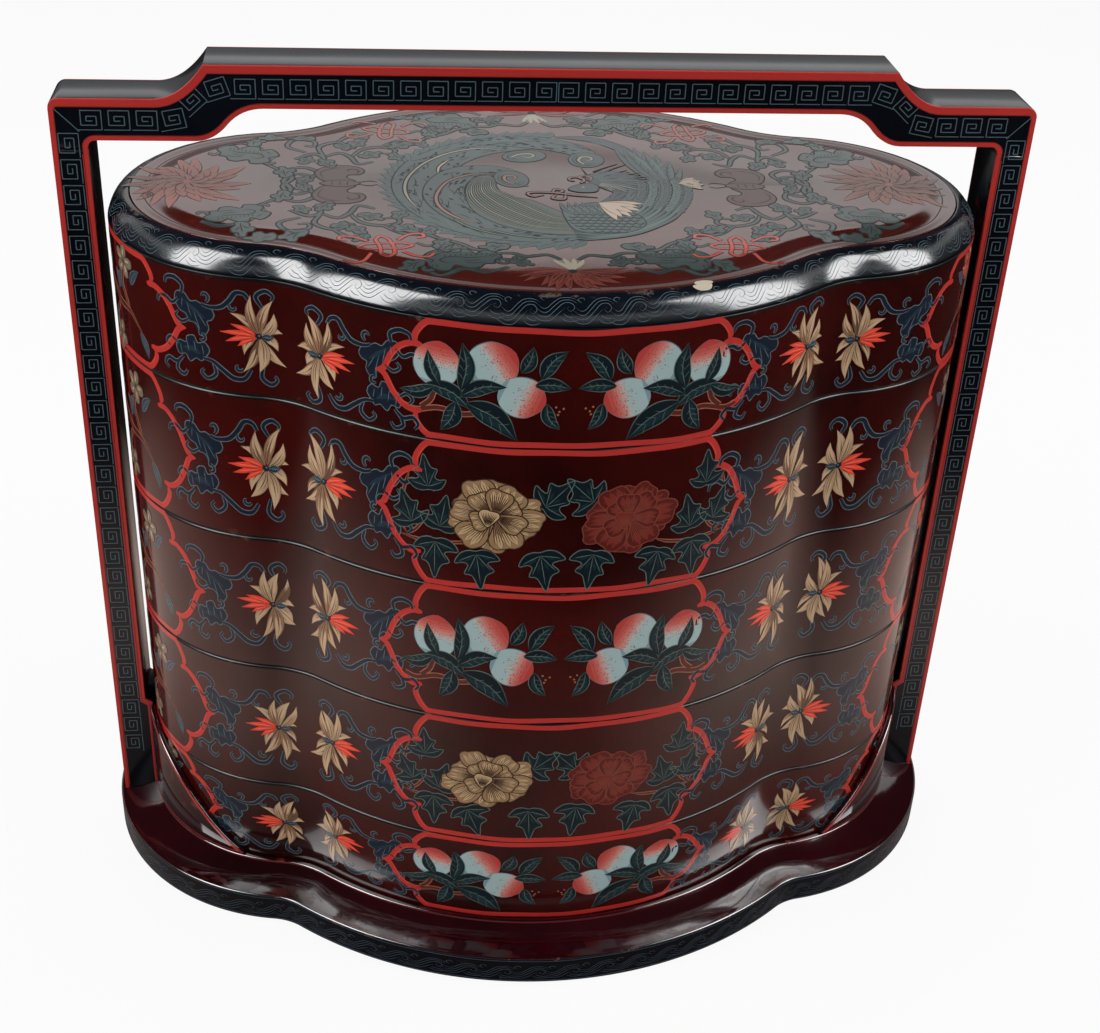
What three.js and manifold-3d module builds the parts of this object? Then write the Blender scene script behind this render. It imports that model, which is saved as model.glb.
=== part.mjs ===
// A lobed lacquer stacking box: four trays and a deep flat-topped lid, nested by low tongues.
// They stand in a base tray, whose two posts and bar make a fixed carrying frame.
// Millimetres, +Z up, +X along the carrying bar. The origin is under the middle of the base.

import * as THREE from 'three';
import { mergeVertices } from 'three/addons/utils/BufferGeometryUtils.js';
import Module from 'manifold-3d';

const wasm = await Module();
wasm.setup();

// Clearances and overruns
const seatGap = 0.3;
const cutOverrun = 1;

// Plan of the stack: two end lobes and two long lobes, joined by hollow valleys
const stackHalfLength = 227.5;
const stackHalfDepth = 146;
const endLobeRadius = 90.5;
const longLobeRadius = 195;
const valleyRadius = 58;

// Steps along a quarter of the plan
const endLobeSteps = 7;
const valleySteps = 2;
const longLobeSteps = 5;

// Lacquered walls
const wallThickness = 7;
const rimChamfer = 0.8;

// Trays
const trayHeight = 82.7;
const lowestTrayHeight = 72.4;
const boardThickness = 6;
const boardRecess = 4;
const boardLetIn = 3;
const tongueRise = 2.6;
const tongueHold = 12;
const tongueThickness = 2.6;
const tongueChamfer = 1;

// Lid
const skirtHeight = 63.1;
const shoulderWidth = 11.5;
const shoulderRise = 12.7;
const shoulderLedge = 6;
const shoulderSteps = 5;
const lidBoardThickness = 8;
const lidCrown = 1.7;
const crownWidth = 60;
const crownSteps = 3;

// Base
const baseOverhang = 26;
const baseEdgeHeight = 17.9;
const baseHoopThickness = 5;
const flangeEdgeThickness = 2;
const flangeRounding = 0.9;
const flangeCoveRise = 4.4;
const flangeCoveSteps = 4;
const lipHeight = 24.9;
const lipWidth = 3.2;
const lipRounding = 0.7;
const wellGap = 0.8;
const floorHeight = 8;
const floorThickness = 4.5;
const floorLedgeWidth = 10.8;

// Carrying frame
const frameDepth = 32;
const postThickness = 17.6;
const postGap = 4.9;
const footGap = 0.9;
const footHeight = 66;
const footStepHeight = 3;
const barThickness = 21;
const barClearance = 26.6;
const barRise = 17.3;
const raisedTopHalfLength = 174;
const raisedTopSlope = 22;
const raisedUnderHalfLength = 146.5;
const raisedUnderSlope = 26.5;
const raisedThickness = 21.5;
const barCornerRadius = 5;
const postCornerRadius = 4;
const frameBevel = 1.5;
const slopeBendShare = 0.45;
const cornerSteps = 4;
const tenonThickness = 8;
const tenonWidth = 20;
const tenonLength = 13;
const postSeatDepth = 0.5;

// Fences: curved cheeks that rise on the lip beside the posts
const fenceRise = 58;
const fenceEndRise = 2;
const fenceRounding = 0.8;
const fenceLength = 90;
const fenceFallPower = 1.2;
const fenceSteps = 12;

// Heights that follow
const lowestTrayBottom = floorHeight + seatGap;
const trayBottoms = new Map();
trayBottoms.set('tray_4', lowestTrayBottom);
trayBottoms.set('tray_3', lowestTrayBottom + lowestTrayHeight + seatGap);
trayBottoms.set('tray_2', trayBottoms.get('tray_3') + trayHeight + seatGap);
trayBottoms.set('tray_1', trayBottoms.get('tray_2') + trayHeight + seatGap);
const lidBottom = trayBottoms.get('tray_1') + trayHeight + seatGap;
const lidTop = lidBottom + skirtHeight + shoulderRise + lidCrown;
const barUnderside = lidTop + barClearance;
const barShoulder = barUnderside + barThickness;
const raisedTop = barShoulder + barRise;
const raisedUnderside = raisedTop - raisedThickness;
const postInner = stackHalfLength + postGap;
const postOuter = postInner + postThickness;
const footInner = stackHalfLength + footGap;
const postHead = barUnderside - postCornerRadius;
const postFoot = baseEdgeHeight - postSeatDepth + seatGap;
const lipOuter = wellGap + lipWidth;

// Finishes
const blackLacquer = new THREE.MeshStandardMaterial({ color: 0x14181a, roughness: 0.25, metalness: 0 });
const wallLacquer = new THREE.MeshStandardMaterial({ color: 0x4c1d19, roughness: 0.3, metalness: 0 });
const flangeLacquer = new THREE.MeshStandardMaterial({ color: 0x330a10, roughness: 0.2, metalness: 0 });
const lidLacquer = new THREE.MeshStandardMaterial({ color: 0x5a3028, roughness: 0.3, metalness: 0 });
const innerLacquer = new THREE.MeshStandardMaterial({ color: 0x2a0d0c, roughness: 0.45, metalness: 0 });

// The lobed plan, counterclockwise from the right tip; each point keeps its outward normal,
// so that a hoop set in or out from the plan keeps true arcs.

function arcPoints(centre, radius, from, to, steps, outward) {
  return Array.from({ length: steps + 1 }, (_, step) => {
    const angle = THREE.MathUtils.lerp(from, to, step / steps);
    const ray = new THREE.Vector2(Math.cos(angle), Math.sin(angle));
    const at = centre.clone().addScaledVector(ray, radius);
    return { at, normal: ray.multiplyScalar(outward) };
  });
}

function circlesMeet(centreA, reachA, centreB, reachB) {
  const along = centreB.clone().sub(centreA);
  const span = along.length();
  along.divideScalar(span);
  const foot = (span ** 2 + reachA ** 2 - reachB ** 2) / (2 * span);
  const rise = Math.sqrt(reachA ** 2 - foot ** 2);
  const across = new THREE.Vector2(along.y, -along.x);
  return centreA.clone().addScaledVector(along, foot).addScaledVector(across, rise);
}

const endLobeCentre = new THREE.Vector2(stackHalfLength - endLobeRadius, 0);
const longLobeCentre = new THREE.Vector2(0, stackHalfDepth - longLobeRadius);
const valleyCentre = circlesMeet(
  endLobeCentre, endLobeRadius + valleyRadius,
  longLobeCentre, longLobeRadius + valleyRadius,
);
const endLobeSweep = valleyCentre.clone().sub(endLobeCentre).angle();
const longLobeStart = valleyCentre.clone().sub(longLobeCentre).angle();

function quarterPlan() {
  const endLobe = arcPoints(endLobeCentre, endLobeRadius, 0, endLobeSweep, endLobeSteps, 1);
  const valley = arcPoints(
    valleyCentre, valleyRadius, endLobeSweep + Math.PI, longLobeStart + Math.PI, valleySteps, -1,
  );
  const longLobe = arcPoints(longLobeCentre, longLobeRadius, longLobeStart, Math.PI / 2, longLobeSteps, 1);
  return [...endLobe, ...valley.slice(1), ...longLobe.slice(1)];
}

function mirrored(points, alongX, alongY) {
  const sides = new THREE.Vector2(alongX, alongY);
  const copy = points.map(({ at, normal }) => ({
    at: at.clone().multiply(sides),
    normal: normal.clone().multiply(sides),
  }));
  return alongX === alongY ? copy.slice(0, -1) : copy.reverse().slice(0, -1);
}

const quarter = quarterPlan();
const plan = [
  ...mirrored(quarter, 1, 1),
  ...mirrored(quarter, -1, 1),
  ...mirrored(quarter, -1, -1),
  ...mirrored(quarter, 1, -1),
];

// Solids made from rings of points, each ring counterclockwise as seen from its far end

function ringMesh(rings, closed) {
  const size = rings[0].length;
  const positions = rings.flat().flatMap((point) => point.toArray());
  const indices = [];
  const spans = closed ? rings.length : rings.length - 1;
  for (let ring = 0; ring < spans; ring++) {
    const next = (ring + 1) % rings.length;
    for (let step = 0; step < size; step++) {
      const ahead = (step + 1) % size;
      const corner = ring * size + step;
      const along = ring * size + ahead;
      const over = next * size + step;
      const across = next * size + ahead;
      indices.push(corner, along, across, corner, across, over);
    }
  }
  return { positions, indices, size };
}

function geometryOf({ positions, indices }) {
  const geometry = new THREE.BufferGeometry();
  geometry.setAttribute('position', new THREE.Float32BufferAttribute(positions, 3));
  geometry.setIndex(indices);
  geometry.computeVertexNormals();
  return geometry;
}

function fan(mesh, start, centre, reversed) {
  const hub = mesh.positions.length / 3;
  mesh.positions.push(...centre.toArray());
  for (let step = 0; step < mesh.size; step++) {
    const corner = start + step;
    const ahead = start + (step + 1) % mesh.size;
    mesh.indices.push(...(reversed ? [hub, ahead, corner] : [hub, corner, ahead]));
  }
}

function planRing(offset, height) {
  return plan.map(({ at, normal }) =>
    new THREE.Vector3(at.x + offset * normal.x, at.y + offset * normal.y, height));
}

// A closed hoop: a profile of [offset from the plan, height], counterclockwise, carried round the plan
function hoop(profile) {
  return geometryOf(ringMesh(profile.map(([offset, height]) => planRing(offset, height)), true));
}

// A board: rings stacked from its underside to its top and closed by a fan at each end
function board(rings, crown) {
  const mesh = ringMesh(rings, false);
  const lowest = rings[0][0].z;
  const highest = rings.at(-1)[0].z;
  fan(mesh, 0, new THREE.Vector3(0, 0, lowest), true);
  fan(mesh, (rings.length - 1) * mesh.size, new THREE.Vector3(0, 0, highest + crown), false);
  return geometryOf(mesh);
}

// Solid joins and cuts

function toSolid(geometry) {
  const bare = geometry.clone();
  bare.deleteAttribute('normal');
  bare.deleteAttribute('uv');
  const merged = mergeVertices(bare);
  return new wasm.Manifold(new wasm.Mesh({
    numProp: 3,
    vertProperties: merged.attributes.position.array,
    triVerts: new Uint32Array(merged.index.array),
  }));
}

function fromSolid(solid) {
  const { vertProperties, triVerts } = solid.getMesh();
  return geometryOf({ positions: Array.from(vertProperties), indices: Array.from(triVerts) });
}

// A box between two corners
function block(low, high) {
  const size = high.clone().sub(low);
  const middle = low.clone().add(high).multiplyScalar(1 / 2);
  return new THREE.BoxGeometry(...size.toArray()).translate(...middle.toArray());
}

function mesh(name, geometry, material) {
  const piece = new THREE.Mesh(geometry, material);
  piece.name = name;
  return piece;
}

// Tray: a hoop with a board let into its groove and a tongue glued inside its rim

function trayWall(height) {
  const grooveBottom = boardRecess;
  const grooveTop = grooveBottom + boardThickness + 2 * seatGap;
  const grooveFloor = boardLetIn - wallThickness;
  return hoop([
    [-rimChamfer, 0],
    [0, rimChamfer],
    [0, height - rimChamfer],
    [-rimChamfer, height],
    [-wallThickness, height],
    [-wallThickness, grooveTop],
    [grooveFloor, grooveTop],
    [grooveFloor, grooveBottom],
    [-wallThickness, grooveBottom],
    [-wallThickness, 0],
  ]);
}

function trayBoard() {
  const edge = boardLetIn - wallThickness - seatGap;
  const underside = boardRecess + seatGap;
  return board([planRing(edge, underside), planRing(edge, underside + boardThickness)], 0);
}

function trayTongue(height) {
  const outer = -wallThickness - seatGap;
  const inner = outer - tongueThickness;
  return hoop([
    [outer, height - tongueHold],
    [outer, height + tongueRise - tongueChamfer],
    [outer - tongueChamfer, height + tongueRise],
    [inner, height + tongueRise],
    [inner, height - tongueHold],
  ]);
}

function tray(name, height) {
  const group = new THREE.Group();
  group.add(
    mesh(`${name}_wall`, trayWall(height), wallLacquer),
    mesh(`${name}_board`, trayBoard(), innerLacquer),
    mesh(`${name}_tongue`, trayTongue(height), blackLacquer),
  );
  group.position.z = trayBottoms.get(name);
  return group;
}

// Lid: a skirt, a black rounded shoulder and a crowned board let into it

function lidSkirt() {
  return hoop([
    [-rimChamfer, 0],
    [0, rimChamfer],
    [0, skirtHeight],
    [-wallThickness, skirtHeight],
    [-wallThickness, 0],
  ]);
}

function lidShoulder() {
  const seat = shoulderRise - lidBoardThickness;
  const ledgeEnd = -shoulderWidth - shoulderLedge;
  const curve = Array.from({ length: shoulderSteps + 1 }, (_, step) => {
    const turn = Math.PI / 2 * step / shoulderSteps;
    return [-shoulderWidth * (1 - Math.cos(turn)), Math.max(seatGap, shoulderRise * Math.sin(turn))];
  });
  return hoop([
    ...curve,
    [-shoulderWidth, seat],
    [ledgeEnd, seat],
    [ledgeEnd, seatGap],
  ]);
}

// The board's crown rises on a parabola from the shoulder to the middle of the stack
function crownAt(inset) {
  const run = (inset - shoulderWidth) / (stackHalfDepth - shoulderWidth);
  return lidCrown * (1 - (1 - run) ** 2);
}

function lidBoard() {
  const edge = shoulderWidth + seatGap;
  const rings = [planRing(-edge, shoulderRise - lidBoardThickness + seatGap)];
  for (let step = 0; step <= crownSteps; step++) {
    const inset = edge + crownWidth * step / crownSteps;
    rings.push(planRing(-inset, shoulderRise + crownAt(inset)));
  }
  return board(rings, lidCrown - crownAt(edge + crownWidth));
}

function lid() {
  const group = new THREE.Group();
  const top = new THREE.Group();
  top.position.z = skirtHeight;
  top.add(
    mesh('lid_shoulder', lidShoulder(), blackLacquer),
    mesh('lid_board', lidBoard(), lidLacquer),
  );
  group.add(mesh('lid_skirt', lidSkirt(), wallLacquer), top);
  group.position.z = lidBottom;
  return group;
}

// Base: a bent edge hoop under a coved flange, whose lip rings the well of the lowest tray

function baseHoop() {
  const top = baseEdgeHeight - flangeEdgeThickness - seatGap;
  return hoop([
    [baseOverhang, 0],
    [baseOverhang, top],
    [baseOverhang - baseHoopThickness, top],
    [baseOverhang - baseHoopThickness, 0],
  ]);
}

function flangeCove() {
  const start = baseOverhang - flangeRounding;
  return Array.from({ length: flangeCoveSteps + 1 }, (_, step) => {
    const share = step / flangeCoveSteps;
    const offset = THREE.MathUtils.lerp(start, lipOuter, share);
    return [offset, baseEdgeHeight + flangeCoveRise * (1 - Math.cos(share * Math.PI / 2))];
  });
}

function baseFlange() {
  const inside = baseOverhang - baseHoopThickness - seatGap;
  const ledge = floorHeight - floorThickness - seatGap;
  const ring = toSolid(hoop([
    [inside, 0],
    [inside, baseEdgeHeight - flangeEdgeThickness],
    [baseOverhang, baseEdgeHeight - flangeEdgeThickness],
    [baseOverhang, baseEdgeHeight - flangeRounding],
    ...flangeCove(),
    [lipOuter, lipHeight - lipRounding],
    [lipOuter - lipRounding, lipHeight],
    [wellGap + lipRounding, lipHeight],
    [wellGap, lipHeight - lipRounding],
    [wellGap, ledge],
    [wellGap - floorLedgeWidth, ledge],
    [wellGap - floorLedgeWidth, 0],
  ]));
  const sides = [1, -1].flatMap((side) => [postSeat(side), baseMortise(side)]);
  return fromSolid(sides.reduce((solid, cut) => solid.subtract(toSolid(cut)), ring));
}

function baseFloor() {
  const edge = wellGap - seatGap;
  return board([planRing(edge, floorHeight - floorThickness), planRing(edge, floorHeight)], 0);
}

// The flat seat that each post foot has in the flange, open to the well
function postSeat(side) {
  const reach = frameDepth / 2 + seatGap;
  const near = side * (stackHalfLength - wallThickness);
  const far = side * (postOuter + seatGap);
  return block(
    new THREE.Vector3(Math.min(near, far), -reach, baseEdgeHeight - postSeatDepth),
    new THREE.Vector3(Math.max(near, far), reach, lipHeight + cutOverrun),
  );
}

// Tenons at both ends of a post, and the mortises that take them
function tenonBlock(side, low, high, clearance) {
  const middle = side * (postInner + postThickness / 2);
  const halfThickness = tenonThickness / 2 + clearance;
  const halfWidth = tenonWidth / 2 + clearance;
  return block(
    new THREE.Vector3(middle - halfThickness, -halfWidth, low),
    new THREE.Vector3(middle + halfThickness, halfWidth, high),
  );
}

function baseMortise(side) {
  return tenonBlock(side, postFoot - tenonLength - seatGap, lipHeight, seatGap);
}

function barMortise(side) {
  return tenonBlock(side, postHead - cutOverrun, postHead + tenonLength + seatGap, seatGap);
}

// Frame pieces are cut to a side view in X and Z and have softened edges front and back
function sawn(shape) {
  const geometry = new THREE.ExtrudeGeometry(shape, {
    depth: frameDepth - 2 * frameBevel,
    bevelThickness: frameBevel,
    bevelSize: frameBevel,
    bevelOffset: -frameBevel,
    bevelSegments: 2,
    curveSegments: cornerSteps,
  });
  geometry.translate(0, 0, frameBevel - frameDepth / 2);
  return geometry.rotateX(Math.PI / 2);
}

function post(side) {
  const top = postHead - seatGap;
  const footTop = postFoot + footHeight;
  const outline = [
    [footInner, postFoot],
    [postOuter, postFoot],
    [postOuter, top],
    [postInner, top],
    [postInner, footTop + footStepHeight],
    [footInner, footTop],
  ];
  const shape = new THREE.Shape(outline.map(([x, z]) => new THREE.Vector2(side * x, z)));
  const body = toSolid(sawn(shape));
  const low = toSolid(tenonBlock(side, postFoot - tenonLength, postFoot + frameBevel, 0));
  const high = toSolid(tenonBlock(side, top - frameBevel, top + tenonLength, 0));
  return mesh(side > 0 ? 'right_post' : 'left_post', fromSolid(body.add(low).add(high)), blackLacquer);
}

function bar() {
  const shape = new THREE.Shape();
  const shoulderStart = raisedTopHalfLength + raisedTopSlope;
  const underStart = raisedUnderHalfLength + raisedUnderSlope;
  const corner = postOuter - barCornerRadius;
  const cornerLevel = barShoulder - barCornerRadius;
  const topBend = raisedTopHalfLength + raisedTopSlope * slopeBendShare;
  const underBend = raisedUnderHalfLength + raisedUnderSlope * slopeBendShare;
  const bend = postInner - postCornerRadius;
  shape.moveTo(-raisedTopHalfLength, raisedTop);
  shape.quadraticCurveTo(-topBend, barShoulder, -shoulderStart, barShoulder);
  shape.absarc(-corner, cornerLevel, barCornerRadius, Math.PI / 2, Math.PI, false);
  shape.lineTo(-postOuter, postHead);
  shape.absarc(-bend, postHead, postCornerRadius, Math.PI, Math.PI / 2, true);
  shape.lineTo(-underStart, barUnderside);
  shape.quadraticCurveTo(-underBend, raisedUnderside, -raisedUnderHalfLength, raisedUnderside);
  shape.lineTo(raisedUnderHalfLength, raisedUnderside);
  shape.quadraticCurveTo(underBend, raisedUnderside, underStart, barUnderside);
  shape.absarc(bend, postHead, postCornerRadius, Math.PI / 2, 0, true);
  shape.lineTo(postOuter, postHead);
  shape.absarc(corner, cornerLevel, barCornerRadius, 0, Math.PI / 2, false);
  shape.lineTo(shoulderStart, barShoulder);
  shape.quadraticCurveTo(topBend, barShoulder, raisedTopHalfLength, raisedTop);
  const cuts = [1, -1].map((side) => toSolid(barMortise(side)));
  const whole = cuts.reduce((solid, cut) => solid.subtract(cut), toSolid(sawn(shape)));
  return mesh('carrying_bar', fromSolid(whole), blackLacquer);
}

// The point and outward normal that lie this far along the plan from the right tip
function planAt(travel) {
  let left = travel;
  let step = 1;
  let span = quarter[0].at.distanceTo(quarter[step].at);
  while (left > span && step < quarter.length - 1) {
    left -= span;
    step += 1;
    span = quarter[step - 1].at.distanceTo(quarter[step].at);
  }
  const share = left / span;
  return {
    at: quarter[step - 1].at.clone().lerp(quarter[step].at, share),
    normal: quarter[step - 1].normal.clone().lerp(quarter[step].normal, share).normalize(),
  };
}

// A fence: a thin cheek on the lip, high at the post and sweeping down along the end lobe
function fence(name, sideX, sideY) {
  const bottom = lipHeight + seatGap;
  const start = endLobeRadius * Math.asin((frameDepth / 2 + seatGap) / endLobeRadius);
  const rings = Array.from({ length: fenceSteps + 1 }, (_, step) => {
    const share = step / fenceSteps;
    const { at, normal } = planAt(start + fenceLength * share);
    const fall = Math.cos(share * Math.PI / 2) ** fenceFallPower;
    const rise = fenceEndRise + (fenceRise - fenceEndRise) * fall;
    const top = bottom + rise;
    const section = [
      [wellGap, bottom],
      [wellGap, top - fenceRounding],
      [wellGap + fenceRounding, top],
      [lipOuter - fenceRounding, top],
      [lipOuter, top - fenceRounding],
      [lipOuter, bottom],
    ];
    const ring = section.map(([offset, height]) => new THREE.Vector3(
      sideX * (at.x + offset * normal.x),
      sideY * (at.y + offset * normal.y),
      height,
    ));
    return sideX === sideY ? ring : ring.reverse();
  });
  const body = ringMesh(rings, false);
  const middleOf = (ring) => ring.reduce((sum, point) => sum.add(point), new THREE.Vector3())
    .divideScalar(ring.length);
  fan(body, 0, middleOf(rings[0]), true);
  fan(body, (rings.length - 1) * body.size, middleOf(rings.at(-1)), false);
  return mesh(name, geometryOf(body), flangeLacquer);
}

const box = new THREE.Group();
box.add(
  mesh('base_hoop', baseHoop(), blackLacquer),
  mesh('base_flange', baseFlange(), flangeLacquer),
  mesh('base_floor', baseFloor(), innerLacquer),
  post(-1),
  post(1),
  bar(),
  fence('fence_left_front', -1, -1),
  fence('fence_left_back', -1, 1),
  fence('fence_right_front', 1, -1),
  fence('fence_right_back', 1, 1),
  tray('tray_4', lowestTrayHeight),
  tray('tray_3', trayHeight),
  tray('tray_2', trayHeight),
  tray('tray_1', trayHeight),
  lid(),
);

export default box;
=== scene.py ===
"""A lobed lacquer stacking box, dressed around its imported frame.

Sizes are in millimetres until a mesh is made. The front is -Y. Painted ornament is thin relief:
each motif is drawn flat, in millimetres, and then laid on the wall, lid, base or frame it belongs to.
"""

import math

import bpy
import numpy as np
from mathutils import Matrix


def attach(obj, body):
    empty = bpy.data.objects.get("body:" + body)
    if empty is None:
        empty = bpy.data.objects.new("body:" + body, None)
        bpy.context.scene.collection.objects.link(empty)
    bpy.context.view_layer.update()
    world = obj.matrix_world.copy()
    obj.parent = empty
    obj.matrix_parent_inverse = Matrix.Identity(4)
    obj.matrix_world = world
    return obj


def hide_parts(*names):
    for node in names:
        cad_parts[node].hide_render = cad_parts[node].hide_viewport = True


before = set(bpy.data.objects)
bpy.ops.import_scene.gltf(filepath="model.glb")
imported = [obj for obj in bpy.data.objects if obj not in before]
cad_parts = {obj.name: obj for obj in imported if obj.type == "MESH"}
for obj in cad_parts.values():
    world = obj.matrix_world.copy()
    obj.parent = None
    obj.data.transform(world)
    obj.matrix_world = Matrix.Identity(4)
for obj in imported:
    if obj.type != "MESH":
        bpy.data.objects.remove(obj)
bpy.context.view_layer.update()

MM = 0.001
TURN = 2 * math.pi

# Plan of the stack: end lobes, long lobes and the hollow valleys between them
HALF_LENGTH = 227.5
HALF_DEPTH = 146.0
END_RADIUS = 90.5
LONG_RADIUS = 195.0
VALLEY_RADIUS = 58.0
PLAN_SAMPLES = 480

# Heights
TRAY_BOTTOMS = {"tray_4": 8.3, "tray_3": 81.0, "tray_2": 164.0, "tray_1": 247.0}
TRAY_HEIGHTS = {"tray_4": 72.4, "tray_3": 82.7, "tray_2": 82.7, "tray_1": 82.7}
LID_BOTTOM = 330.0
SKIRT_HEIGHT = 63.1
SKIRT_TOP = LID_BOTTOM + SKIRT_HEIGHT
WALL = 7.0

# Lid
SHOULDER_WIDTH = 11.5
SHOULDER_RISE = 12.7
SHOULDER_TOP = SKIRT_TOP + SHOULDER_RISE
SHOULDER_START = 0.4
SHOULDER_LENGTH = 17.5
SHOULDER_LEDGE = 6.0
LID_BOARD = 8.0

# The lid's top: how far inside the shoulder each form starts, how wide it is and how much it rises
CROWN = (45, 85, 1.7)
SWELL = (80, 62, 1.3)
HOLLOW = (17, 9, -1.6)
BEAD = (7, 6, 0.4)

# Base and fences
OVERHANG = 26.0
EDGE_HEIGHT = 17.9
HOOP_INNER = 21.0
FLANGE_EDGE = 2.0
FLOOR_LEDGE = -10.0
FLOOR_UNDER = 3.2
LIP_HEIGHT = 24.9
LIP_INNER = 0.8
LIP_OUTER = 4.0
FENCE_LENGTH = 90.0
FENCE_LOW = 2.0
FENCE_HIGH = 58.0

# Carrying frame
FRAME_DEPTH = 32.0
FRAME_BEVEL = 1.5
BAR_CORNER = 5.0
POST_CORNER = 4.0
FOOT_STEP = 3.0
POST_INNER = 232.4
POST_OUTER = 250.0
FOOT_INNER = 228.4
POST_FOOT = 17.7
FOOT_TOP = 83.7
POST_HEAD = 430.1
BAR_UNDER = 434.1
BAR_SHOULDER = 455.1
RAISED_TOP = 472.4
RAISED_UNDER = 450.9
JOINT_GAP = 0.3


def circles_meet(centre_a, reach_a, centre_b, reach_b):
    """The meeting point of two circles on the right of the way from the first centre to the second."""
    along = centre_b - centre_a
    span = np.hypot(*along)
    along = along / span
    foot = (span**2 + reach_a**2 - reach_b**2) / (2 * span)
    rise = math.sqrt(reach_a**2 - foot**2)
    return centre_a + along * foot + np.array([along[1], -along[0]]) * rise


END_CENTRE = np.array([HALF_LENGTH - END_RADIUS, 0.0])
LONG_CENTRE = np.array([0.0, HALF_DEPTH - LONG_RADIUS])
VALLEY_CENTRE = circles_meet(
    END_CENTRE, END_RADIUS + VALLEY_RADIUS, LONG_CENTRE, LONG_RADIUS + VALLEY_RADIUS
)
END_SWEEP = math.atan2(*(VALLEY_CENTRE - END_CENTRE)[::-1])
LONG_START = math.atan2(*(VALLEY_CENTRE - LONG_CENTRE)[::-1])
END_ARC = END_RADIUS * END_SWEEP
VALLEY_ARC = VALLEY_RADIUS * (END_SWEEP - LONG_START)
QUARTER = END_ARC + VALLEY_ARC + LONG_RADIUS * (math.pi / 2 - LONG_START)
ROUND = 4 * QUARTER
FENCE_START = END_RADIUS * math.asin((FRAME_DEPTH / 2 + JOINT_GAP) / END_RADIUS)


def plan_at(travel):
    """Points and outward normals of the plan. Travel is 0 at the front middle and grows towards +X."""
    travel = (np.asarray(travel, float) + ROUND / 2) % ROUND - ROUND / 2
    side = np.stack([np.where(travel < 0, -1.0, 1.0), np.where(np.abs(travel) <= QUARTER, -1.0, 1.0)], -1)
    tip = np.abs(QUARTER - np.abs(travel))
    in_end = tip < END_ARC
    in_valley = ~in_end & (tip < END_ARC + VALLEY_ARC)
    angle = np.select(
        [in_end, in_valley],
        [tip / END_RADIUS, END_SWEEP - (tip - END_ARC) / VALLEY_RADIUS],
        LONG_START + (tip - END_ARC - VALLEY_ARC) / LONG_RADIUS,
    )
    normal = np.stack([np.cos(angle), np.sin(angle)], -1)
    centre = np.select([in_end[..., None], in_valley[..., None]], [END_CENTRE, VALLEY_CENTRE], LONG_CENTRE)
    radius = np.select([in_end, in_valley], [END_RADIUS, -VALLEY_RADIUS], LONG_RADIUS)
    return (centre + radius[..., None] * normal) * side, normal * side


def inset_at(x, y):
    """How far inside the plan each point lies."""
    x, y = np.abs(x), np.abs(y)
    end = np.where(
        np.arctan2(y, x - END_CENTRE[0]) < END_SWEEP,
        END_RADIUS - np.hypot(x - END_CENTRE[0], y),
        HALF_DEPTH,
    )
    long = np.where(
        np.arctan2(y - LONG_CENTRE[1], x) > LONG_START,
        LONG_RADIUS - np.hypot(x, y - LONG_CENTRE[1]),
        HALF_DEPTH,
    )
    turn = np.arctan2(VALLEY_CENTRE[1] - y, VALLEY_CENTRE[0] - x)
    valley = np.where(
        (turn > LONG_START) & (turn < END_SWEEP),
        np.hypot(x - VALLEY_CENTRE[0], y - VALLEY_CENTRE[1]) - VALLEY_RADIUS,
        HALF_DEPTH,
    )
    return np.minimum(np.minimum(end, long), valley)


def ease(share):
    share = np.clip(share, 0, 1)
    return share**2 * (3 - 2 * share)


def lid_height(x, y):
    """A crowned middle, then towards the shoulder a slight swell, a hollow and a low bead."""
    inset = inset_at(x, y) - SHOULDER_WIDTH
    start, width, rise = CROWN
    height = SHOULDER_TOP + rise * ease((inset - start) / width)
    start, width, rise = SWELL
    height = height + rise * np.clip((start - inset) / width, 0, 1) ** 2
    for start, width, rise in (HOLLOW, BEAD):
        height = height + rise * ease((start - inset) / width)
    return height


# Materials


def srgb(red, green, blue):
    levels = [c / 255 for c in (red, green, blue)]
    linear = [c / 12.92 if c <= 0.04045 else ((c + 0.055) / 1.055) ** 2.4 for c in levels]
    return (*linear, 1.0)


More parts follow.
